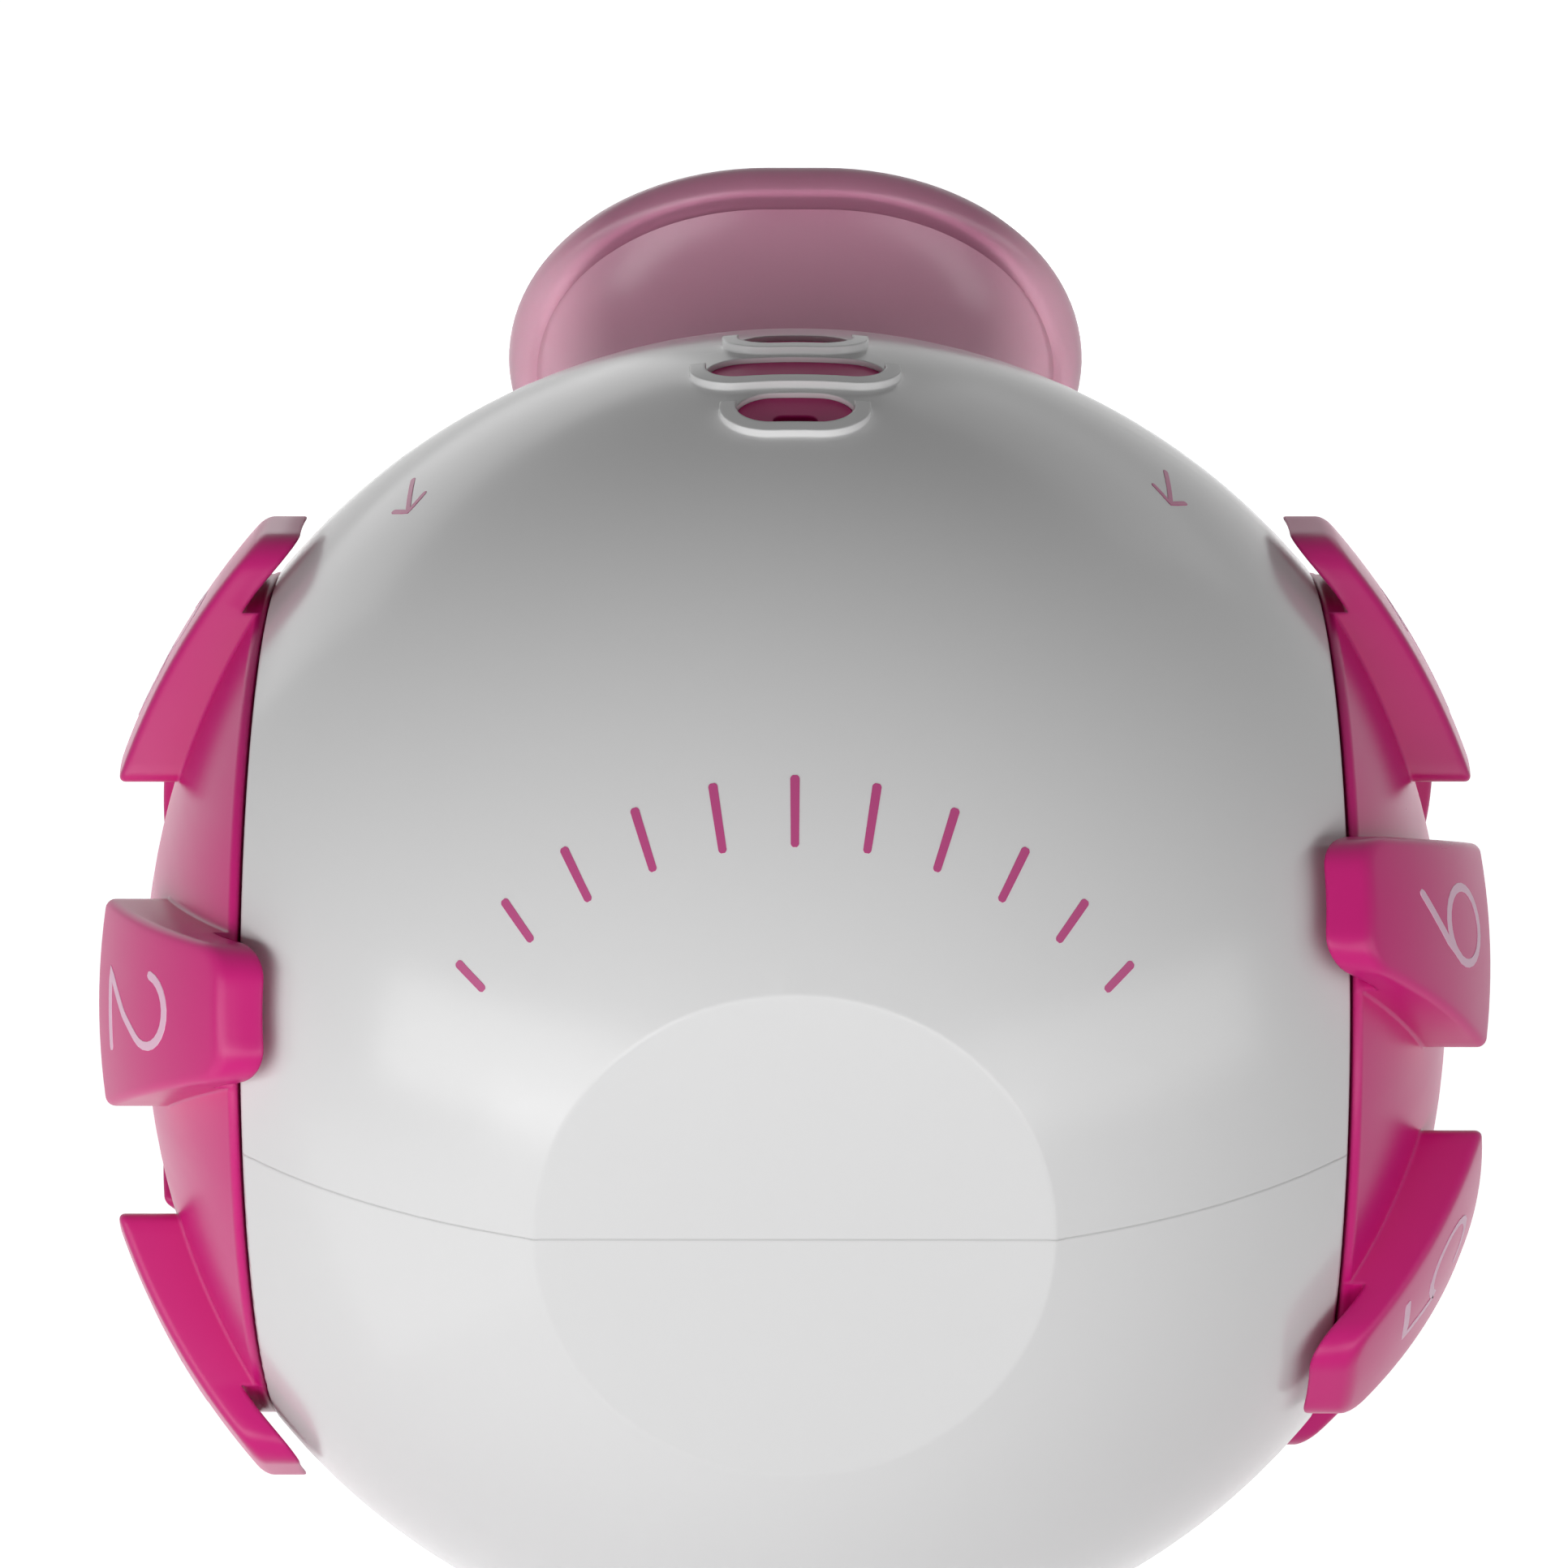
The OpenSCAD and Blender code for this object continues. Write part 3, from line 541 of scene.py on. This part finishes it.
def revolve(bm, side, profile):
    """Turns a section round a dial's axis, with a click notch in the pocket wall behind each lug."""
    start = lug_turn(side, 0)
    rings = []
    for r, z in profile:
        if r == 0:
            rings.append([bm.verts.new(to_row(side, 0, 0, z))])
            continue
        ring = []
        for k in range(TURN_STEPS):
            a = start + 2 * math.pi * k / TURN_STEPS
            own = r + notch_depth(side, k) if r == POCKET_R else r
            ring.append(bm.verts.new(to_row(side, own * math.cos(a), own * math.sin(a), z)))
        rings.append(ring)
    for low, high in zip(rings[:-1], rings[1:]):
        for k in range(TURN_STEPS):
            n = (k + 1) % TURN_STEPS
            panel(bm, (low[k % len(low)], high[k % len(high)], high[n % len(high)], low[n % len(low)]))


def dome_profile():
    """Section of a dial from the crown over the rim to the hub, the journal and the screw hole."""
    points = []
    for k in range(CROWN_STEPS + 1):
        r = CROWN_SHARE * RIM_R * math.sin(math.pi / 2 * k / CROWN_STEPS)
        points.append((r, sphere_height(CROWN_R, CROWN_BASE, r, 0)))
    points += arc(RIM_R - RIM_ROUND, RIM_TOP - RIM_ROUND_DROP, RIM_ROUND, RIM_ROUND_ANGLE, 0, RIM_STEPS)
    foot = RIM_FOOT_ROUND
    points += arc(RIM_R - foot, RIM_POS + foot, foot, 0, -90, RIM_FOOT_STEPS)
    points.append((POCKET_R, RIM_POS))
    points.append((POCKET_R, POCKET_TOP))
    inner = CROWN_R - DIAL_WALL
    edge = min(POCKET_R, math.sqrt(inner ** 2 - (POCKET_TOP - CROWN_BASE) ** 2))
    for k in range(INNER_DOME_STEPS + 1):
        r = edge + (HUB_R - edge) * k / INNER_DOME_STEPS
        points.append((r, sphere_height(inner, CROWN_BASE, r, 0)))
    points.append((HUB_R, HUB_POS))
    points.append((JOURNAL_R, HUB_POS))
    points.append((JOURNAL_R, JOURNAL_POS))
    points.append((SCREW_HOLE_R, JOURNAL_POS))
    points.append((SCREW_HOLE_R, SCREW_HOLE_TOP))
    points.append((0, SCREW_HOLE_TOP))
    return points


def swing(centre, r, start, end, count):
    """Outline entries on an arc: each a point and the direction that faces out of it."""
    out = []
    for k in range(count + 1):
        a = start + (end - start) * k / count
        d = Vector((math.cos(a), math.sin(a)))
        out.append((centre + r * d, d))
    return out


def lug_side():
    """Half of the plan of a lug, from the middle of its inner end to the middle of its tip.

    It gives outline entries, and the number of the entry where the side crosses the rim."""
    tip = Vector((LUG_OUT - LUG_CORNER, LUG_OUT_HW - LUG_CORNER))
    run = tip.x - LUG_IN
    drop = LUG_IN_HW - tip.y
    taper = math.atan2(drop, run) - math.asin(LUG_CORNER / math.hypot(run, drop))
    square = math.pi / 2 - taper
    out_dir = Vector((math.sin(taper), math.cos(taper)))
    inner_y = LUG_IN_HW - LUG_END_ROUND * (math.tan(taper) + 1 / math.cos(taper))
    inner = Vector((LUG_IN + LUG_END_ROUND, inner_y))
    half = [(Vector((LUG_IN, inner_y * k / END_STEPS)), Vector((-1, 0))) for k in range(END_STEPS)]
    half += swing(inner, LUG_END_ROUND, math.pi, square, END_ROUND_STEPS)
    start = inner + LUG_END_ROUND * out_dir
    end = tip + LUG_CORNER * out_dir
    tries = [k / CROSSING_STEPS for k in range(CROSSING_STEPS)]
    cut = next(t for t in tries if start.lerp(end, t).length > RIM_R - RIM_TUCK)
    shares = [k / SIDE_STEPS for k in range(1, SIDE_STEPS)]
    shares = sorted([t for t in shares if abs(t - cut) > CROSSING_CLEAR] + [cut])
    split = len(half) + shares.index(cut)
    half += [(start.lerp(end, t), out_dir) for t in shares]
    half += swing(tip, LUG_CORNER, square, 0, CORNER_STEPS)
    for k in range(1, TIP_EDGE_STEPS + 1):
        half.append((Vector((LUG_OUT, tip.y * (1 - k / TIP_EDGE_STEPS))), Vector((1, 0))))
    return half, split


def lug_outline():
    """The whole plan as a closed loop, and the places where it crosses the rim."""
    half, split = lug_side()
    loop = list(half)
    for p, d in reversed(half[1:-1]):
        loop.append((Vector((p.x, -p.y)), Vector((d.x, -d.y))))
    return loop, split, len(loop) - split


def lug_top(bm, loop, vert):
    """The round edge and the cap of a lug; gives the ring of corners that its walls hang from."""
    rings = []
    for k in range(EDGE_STEPS + 1):
        a = math.pi / 2 * k / EDGE_STEPS
        inset = LUG_ROUND * (1 - math.cos(a))
        fall = LUG_ROUND * (1 - math.sin(a))
        ring = []
        for p, d in loop:
            q = p - d * inset
            ring.append(vert(q.x, q.y, sphere_height(LUG_TOP_R, 0, q.x, q.y) - fall))
        rings.append(ring)
    for k in range(1, CAP_STEPS + 1):
        ring = []
        for p, d in loop:
            q = p - d * LUG_ROUND
            middle = Vector((min(max(q.x, LUG_IN + CAP_INSET), LUG_OUT - CAP_INSET), 0))
            w = q.lerp(middle, k / CAP_STEPS)
            ring.append(vert(w.x, w.y, sphere_height(LUG_TOP_R, 0, w.x, w.y)))
        rings.append(ring)
    for low, high in zip(rings[:-1], rings[1:]):
        strip(bm, low + low[:1], high + high[:1])
    return rings[0]


def tip_column(p, d, vert):
    """Corners down the round under the tip of a lug, where it reaches past the rim."""
    past = max(0.0, p.length - RIM_R)
    r = min(TIP_ROUND, past * TIP_SHARE)
    column = []
    for j in range(TIP_STEPS + 1):
        a = math.pi / 2 * j / TIP_STEPS
        q = p - d * (r * (1 - math.cos(a)))
        z = sphere_height(LUG_UNDER_R, 0, q.x, q.y) + r * (1 - math.sin(a))
        column.append(vert(q.x, q.y, z))
    return column


def rim_corners(p, free_share, vert):
    """Corners under a lug along the rim: one at the underside, and one at the foot."""
    v = p.y * (1 - 2 * free_share)
    r = RIM_R - RIM_TUCK
    u = math.sqrt(r * r - v * v)
    return vert(u, v, sphere_height(LUG_UNDER_R, 0, u, v)), vert(u, v, FOOT_POS)


def lug_underside(bm, columns, feet, crossing, vert):
    """Closes the underside from the free outline in to the rim; gives the corners along the foot there."""
    free = sorted(columns)
    first = free[0]
    second = free[-1]
    outer = [columns[k][-1] for k in free]
    inner = list(outer)
    low = [feet[first]] + [None] * (len(free) - 2) + [feet[second]]
    for k in free[1:-1]:
        i = k - first
        inner[i], low[i] = rim_corners(crossing, i / (second - first), vert)
    rows = [outer]
    for j in range(1, UNDER_STEPS):
        row = list(outer)
        for i in range(1, len(free) - 1):
            row[i] = bm.verts.new(outer[i].co.lerp(inner[i].co, j / UNDER_STEPS))
        rows.append(row)
    rows += [inner, low]
    for up, down in zip(rows[:-1], rows[1:]):
        strip(bm, up, down)
    return low


def add_lug(bm, side, turn):
    """A raised lug: a spherical top, walls that sink into the dome and a tip that reaches past the rim."""
    loop, first, second = lug_outline()
    count = len(loop)

    def vert(u, v, z):
        return bm.verts.new(on_lug(side, turn, u, v, z))

    top = lug_top(bm, loop, vert)
    feet = {}
    columns = {}
    for k, (p, d) in enumerate(loop):
        if k <= first or k >= second:
            depth = sphere_height(CROWN_R, CROWN_BASE, p.x, p.y) - FOOT_DEPTH
            feet[k] = vert(p.x, p.y, max(depth, FOOT_POS))
        if k in (first, second):
            under = vert(p.x, p.y, sphere_height(LUG_UNDER_R, 0, p.x, p.y))
            columns[k] = [under] * (TIP_STEPS + 1)
        elif first < k < second:
            columns[k] = tip_column(p, d, vert)

    for k in range(count):
        n = (k + 1) % count
        if n == first:
            bm.faces.new((top[k], feet[k], feet[n], columns[n][0], top[n]))
        elif k == second:
            bm.faces.new((top[k], columns[k][0], feet[k], feet[n], top[n]))
        elif k in feet and n in feet:
            bm.faces.new((top[k], feet[k], feet[n], top[n]))
        else:
            strip(bm, [top[k]] + columns[k], [top[n]] + columns[n])

    low = lug_underside(bm, columns, feet, loop[first][0], vert)
    # the sunk foot is closed across the lug
    left = [feet[k] for k in range(first + 1)]
    right = [feet[(count - k) % count] for k in range(first + 1)]
    strip(bm, left, right)
    bm.faces.new([left[-1]] + low[1:-1] + [right[-1]])


def add_key(bm, side):
    """The drive key across the hub."""
    half_l = KEY_L / 2
    half_w = KEY_W / 2
    sections = []
    for z in (HUB_POS - KEY_H, HUB_POS + KEY_H):
        plan = ((-half_l, -half_w), (half_l, -half_w), (half_l, half_w), (-half_l, half_w))
        sections.append([bm.verts.new(to_row(side, x, y, z)) for x, y in plan])
    loft(bm, sections)


def dial(side):
    bm = bmesh.new()
    revolve(bm, side, dome_profile())
    for i in range(LUG_COUNT[side]):
        add_lug(bm, side, lug_turn(side, i))
    add_key(bm, side)
    name = DIAL_NODE[side]
    obj = piece(name + "_rounded", bm, magenta, DIAL_BODY[side], DIAL_SHARP_ANGLE)
    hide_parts(name)


# Printed marks

def ribbon(bm, points, half, place, lift, sink):
    """A flat stroke with round ends; place turns a plane point and a height into the row's frame."""
    pts = [Vector(p) for p in points]
    last = len(pts) - 1
    rows = []
    for k, p in enumerate(pts):
        ahead = pts[min(k + 1, last)] - pts[max(k - 1, 0)]
        ahead.normalize()
        across = Vector((-ahead.y, ahead.x)) * half
        if k == 0:
            rows.append((p - ahead * half, across * STROKE_END))
            rows.append((p - ahead * half / 2, across * STROKE_SHOULDER))
        rows.append((p, across))
        if k == last:
            rows.append((p + ahead * half / 2, across * STROKE_SHOULDER))
            rows.append((p + ahead * half, across * STROKE_END))
    sections = []
    for p, a in rows:
        top = a * STROKE_TOP
        corners = ((p + a, sink), (p + top, lift), (p - top, lift), (p - a, sink))
        sections.append([bm.verts.new(place(q, height)) for q, height in corners])
    loft(bm, sections)


def numeral(mark):
    """Strokes of a plain numeral in a box one unit high, x to the right and y up."""
    if mark == "1":
        return [[(-0.16, 0.76), (0.04, 1.0), (0.04, 0.0)]]
    if mark == "2":
        return [arc(0, 0.70, 0.29, 165, -38, 14) + [(0.05, 0.30), (-0.30, 0.0), (0.32, 0.0)]]
    if mark == "3":
        return [arc(-0.01, 0.745, 0.25, 150, -80, 12) + arc(-0.01, 0.27, 0.28, 80, -150, 14)]
    if mark == "4":
        return [[(0.12, 0.0), (0.12, 1.0), (-0.32, 0.28), (0.32, 0.28)]]
    if mark == "5":
        return [[(0.24, 1.0), (-0.18, 1.0), (-0.24, 0.56)] + arc(-0.01, 0.32, 0.31, 130, -145, 16)]
    tail = [(0.12, 1.0), (-0.05, 0.80), (-0.19, 0.62), (-0.28, 0.42)]
    return [tail + arc(0.0, 0.30, 0.31, 165, 510, 24)]


def numerals(side):
    """One numeral on each lug, read with its foot toward the dial's axis."""
    for i, mark in enumerate(DIGITS[side]):
        bm = bmesh.new()
        turn = lug_turn(side, i)

        def place(p, height):
            u = NUMERAL_FOOT + p.y
            v = NUMERAL_SHIFT[side] - p.x
            return on_lug(side, turn, u, v, sphere_height(LUG_TOP_R, 0, u, v) + height)

        for stroke in numeral(mark):
            path = refined([(x * NUMERAL_H, y * NUMERAL_H) for x, y in stroke], NUMERAL_STEP)
            ribbon(bm, path, NUMERAL_HALF_W, place, NUMERAL_LIFT, NUMERAL_SINK)
        name = DIAL_NODE[side] + "_numeral_" + mark
        piece(name, bm, digit_ink, DIAL_BODY[side])


def on_ball(azimuth, polar, lift):
    """A point over the ball, azimuth from the top and polar angle from the front, both in degrees."""
    az = math.radians(azimuth)
    po = math.radians(polar)
    d = Vector((math.sin(po) * math.sin(az), -math.cos(po), math.sin(po) * math.cos(az)))
    return CENTRE + d * (BALL_R + lift)


def front_ticks():
    """A plain row of printed ticks around the front flat, the longest in the middle."""
    bm = bmesh.new()
    for k in range(TICK_COUNT):
        t = 2 * k / (TICK_COUNT - 1) - 1
        length = TICK_LONG + (TICK_SHORT - TICK_LONG) * t * t
        outer = TICK_POLAR + math.degrees(length / BALL_R)
        middle = TICK_POLAR + math.degrees(length / 2 / BALL_R)
        widen = 1 / math.sin(math.radians(middle))

        def place(p, lift):
            azimuth = TICK_SPREAD * t + math.degrees(p.y / BALL_R) * widen
            return on_ball(azimuth, p.x, lift)

        path = refined([(TICK_POLAR, 0), (outer, 0)], TICK_STEP)
        ribbon(bm, path, TICK_HALF_W, place, PRINT_LIFT, PRINT_SINK)
    piece("front_ticks", bm, print_ink, "housing")


def ball_arrow(name, centre, ahead):
    """A small printed arrow on the ball; centre is a direction and ahead the way that it points."""
    out = Vector(centre).normalized()
    fore = Vector(ahead)
    fore = (fore - out * fore.dot(out)).normalized()
    left = out.cross(fore)

    def place(p, lift):
        w = out * BALL_R + fore * p.x + left * p.y
        return CENTRE + w.normalized() * (BALL_R + lift)

    bm = bmesh.new()
    shaft = refined([(-ARROW_REACH, 0), (ARROW_REACH - SHAFT_GAP, 0)], SHAFT_STEP)
    barbs = refined([(BARB_REACH, BARB_SPREAD), (ARROW_REACH, 0), (BARB_REACH, -BARB_SPREAD)], BARB_STEP)
    for path in (shaft, barbs):
        ribbon(bm, path, ARROW_HALF_W, place, PRINT_LIFT, PRINT_SINK)
    piece(name, bm, print_ink, "housing")


def seam_paths():
    """Points of the parting line from the ball centre: beside the flat, round the rear and over the flat."""
    stop = math.degrees(math.asin((DIAL_PLANE - SEAM_DIAL_GAP) / BALL_R))
    near = math.degrees(math.asin((FACE_R + SEAM_OUTER_GAP) / BALL_R))
    flat = FACE_R - SEAM_INNER_GAP
    runs = ((near, stop, SEAM_FRONT_STEPS), (-near, -stop, SEAM_FRONT_STEPS),
            (180 - stop, 180 + stop, SEAM_REAR_STEPS))
    paths = [arc(0, 0, BALL_R, start - 90, end - 90, count) for start, end, count in runs]
    paths.append([(flat * (2 * k / SEAM_FLAT_STEPS - 1), -FACE_DIST) for k in range(SEAM_FLAT_STEPS + 1)])
    return paths


def parting_line():
    """The fine line where the two shells meet, along the flat and around the ball."""
    bm = bmesh.new()
    corners = ((SEAM_HALF_W, SEAM_SINK), (SEAM_HALF_W, SEAM_LIFT),
               (-SEAM_HALF_W, SEAM_LIFT), (-SEAM_HALF_W, SEAM_SINK))
    for path in seam_paths():
        sections = []
        for x, y in path:
            out = Vector((0, -1, 0)) if y == -FACE_DIST else Vector((x, y, 0)).normalized()
            places = [CENTRE + Vector((x, y, z)) + out * lift for z, lift in corners]
            sections.append([bm.verts.new(place) for place in places])
        loft(bm, sections)
    piece("parting_line", bm, seam_shade, "housing")


for side in (-1, 1):
    dial(side)
    numerals(side)
front_ticks()
ball_arrow("in_breath_arrow", IN_ARROW, ARROW_AHEAD)
ball_arrow("out_breath_arrow", OUT_ARROW, ARROW_AHEAD)
parting_line()


# Stage, light and camera

# The floor's half width and the reach of its weaker glow, in metres
FLOOR_HALF = 3.0
FLOOR_COLOUR = (0.86, 0.86, 0.87, 1)
SHINE_REACH = (0.15, 0.6)
SHINE_STRENGTH = (0.9, 1.0)
# The world's glow, as light on the object and as the background that is seen
AMBIENT_STRENGTH = 0.05
BACKGROUND_STRENGTH = 1.0
# The camera, in millimetres and degrees; it looks a little over the ball centre and a little to the left
CAMERA_DISTANCE = 265
CAMERA_ELEVATION = 20.575
CAMERA_LIFT = 2.576
CAMERA_YAW = -0.144
FOCAL_PIXELS = 5658.0
IMAGE_PIXELS = 1932
SENSOR_MM = 36
CLIP_RANGE = (0.005, 20)


def background_rays(tree):
    """1 for the rays that see the background directly, in a reflection or through the object."""
    path = tree.nodes.new("ShaderNodeLightPath")
    seen = path.outputs["Is Camera Ray"]
    for ray in ("Is Glossy Ray", "Is Transmission Ray"):
        either = tree.nodes.new("ShaderNodeMath")
        either.operation = "MAXIMUM"
        link(tree, seen, either.inputs[0])
        link(tree, path.outputs[ray], either.inputs[1])
        seen = either.outputs["Value"]
    return seen


def mix_for_background(tree, plain, seen, out):
    """Gives background rays the seen shader, and all light on the object the plain one."""
    mix = tree.nodes.new("ShaderNodeMixShader")
    link(tree, background_rays(tree), mix.inputs["Fac"])
    link(tree, plain, mix.inputs[1])
    link(tree, seen, mix.inputs[2])
    link(tree, mix.outputs["Shader"], out.inputs["Surface"])


def floor_shine(tree):
    """A white glow of the floor, a little weaker near the object so that its shadow stays."""
    shine = tree.nodes.new("ShaderNodeEmission")
    coords = tree.nodes.new("ShaderNodeTexCoord")
    reach = tree.nodes.new("ShaderNodeVectorMath")
    reach.operation = "LENGTH"
    link(tree, coords.outputs["Object"], reach.inputs[0])
    fade = tree.nodes.new("ShaderNodeMapRange")
    fade.inputs["From Min"].default_value = SHINE_REACH[0]
    fade.inputs["From Max"].default_value = SHINE_REACH[1]
    fade.inputs["To Min"].default_value = SHINE_STRENGTH[0]
    fade.inputs["To Max"].default_value = SHINE_STRENGTH[1]
    link(tree, reach.outputs["Value"], fade.inputs["Value"])
    link(tree, fade.outputs["Result"], shine.inputs["Strength"])
    return shine.outputs["Emission"]


def floor():
    mesh = bpy.data.meshes.new("floor")
    z = -BALL_R * MM
    corners = [(x * FLOOR_HALF, y * FLOOR_HALF, z) for x, y in ((-1, -1), (1, -1), (1, 1), (-1, 1))]
    mesh.from_pydata(corners, [], [(0, 1, 2, 3)])
    obj = bpy.data.objects.new("floor", mesh)
    bpy.context.scene.collection.objects.link(obj)
    mat = bpy.data.materials.new("pale_floor")
    tree, out = nodes_of(mat)
    diffuse = tree.nodes.new("ShaderNodeBsdfDiffuse")
    diffuse.inputs["Color"].default_value = FLOOR_COLOUR
    both = tree.nodes.new("ShaderNodeAddShader")
    link(tree, diffuse.outputs["BSDF"], both.inputs[0])
    link(tree, floor_shine(tree), both.inputs[1])
    mix_for_background(tree, diffuse.outputs["BSDF"], both.outputs["Shader"], out)
    mesh.materials.append(mat)


def world():
    sky = bpy.data.worlds.new("studio")
    bpy.context.scene.world = sky
    sky.use_nodes = True
    tree = sky.node_tree
    tree.nodes.clear()
    out = tree.nodes.new("ShaderNodeOutputWorld")
    skies = []
    for strength in (AMBIENT_STRENGTH, BACKGROUND_STRENGTH):
        background = tree.nodes.new("ShaderNodeBackground")
        background.inputs["Color"].default_value = (1, 1, 1, 1)
        background.inputs["Strength"].default_value = strength
        skies.append(background.outputs["Background"])
    mix_for_background(tree, skies[0], skies[1], out)


def lamp(name, place, target, size, watts):
    """A soft rectangular lamp, all in millimetres; place and target count from the ball centre."""
    data = bpy.data.lights.new(name, "AREA")
    data.shape = "RECTANGLE"
    data.size = size[0] * MM
    data.size_y = size[1] * MM
    data.energy = watts
    obj = bpy.data.objects.new(name, data)
    bpy.context.scene.collection.objects.link(obj)
    at = (CENTRE + Vector(place)) * MM
    to = (CENTRE + Vector(target)) * MM
    obj.location = at
    obj.rotation_euler = (to - at).to_track_quat("-Z", "Y").to_euler()
    obj.visible_camera = False
    return obj


def camera():
    elevation = math.radians(CAMERA_ELEVATION)
    aim = math.radians(CAMERA_LIFT - CAMERA_ELEVATION)
    yaw = math.radians(CAMERA_YAW)
    data = bpy.data.cameras.new("camera")
    data.sensor_width = SENSOR_MM
    data.lens = FOCAL_PIXELS / IMAGE_PIXELS * SENSOR_MM
    data.clip_start = CLIP_RANGE[0]
    data.clip_end = CLIP_RANGE[1]
    obj = bpy.data.objects.new("camera", data)
    bpy.context.scene.collection.objects.link(obj)
    back = Vector((0, -math.cos(elevation), math.sin(elevation)))
    obj.location = (CENTRE + CAMERA_DISTANCE * back) * MM
    ahead = Vector((math.sin(yaw) * math.cos(aim), math.cos(yaw) * math.cos(aim), math.sin(aim)))
    obj.rotation_euler = ahead.to_track_quat("-Z", "Y").to_euler()
    bpy.context.scene.camera = obj


floor()
world()
lamp("left_front_softbox", (-333, -397, 36), (0, 0, -8), (600, 150), 1.13)
lamp("right_front_softbox", (367, -367, 36), (0, 0, -8), (730, 150), 0.82)
lamp("front_card", (-20, -225, -14), (0, 0, -14), (400, 46), 0.14)
lamp("left_card", (-125, -105, -37), (-125, -105, 100), (150, 150), 0.05)
lamp("left_back_softbox", (-241, 417, 195), (0, 0, 0), (420, 200), 0.26)
lamp("right_back_softbox", (216, 373, 291), (0, 0, 0), (300, 180), 0.08)
low_back = lamp("low_back_softbox", (0, 430, 10), (0, 0, 0), (560, 80), 0.55)
low_back.visible_glossy = False
camera()
bpy.context.scene.view_settings.view_transform = "Standard"
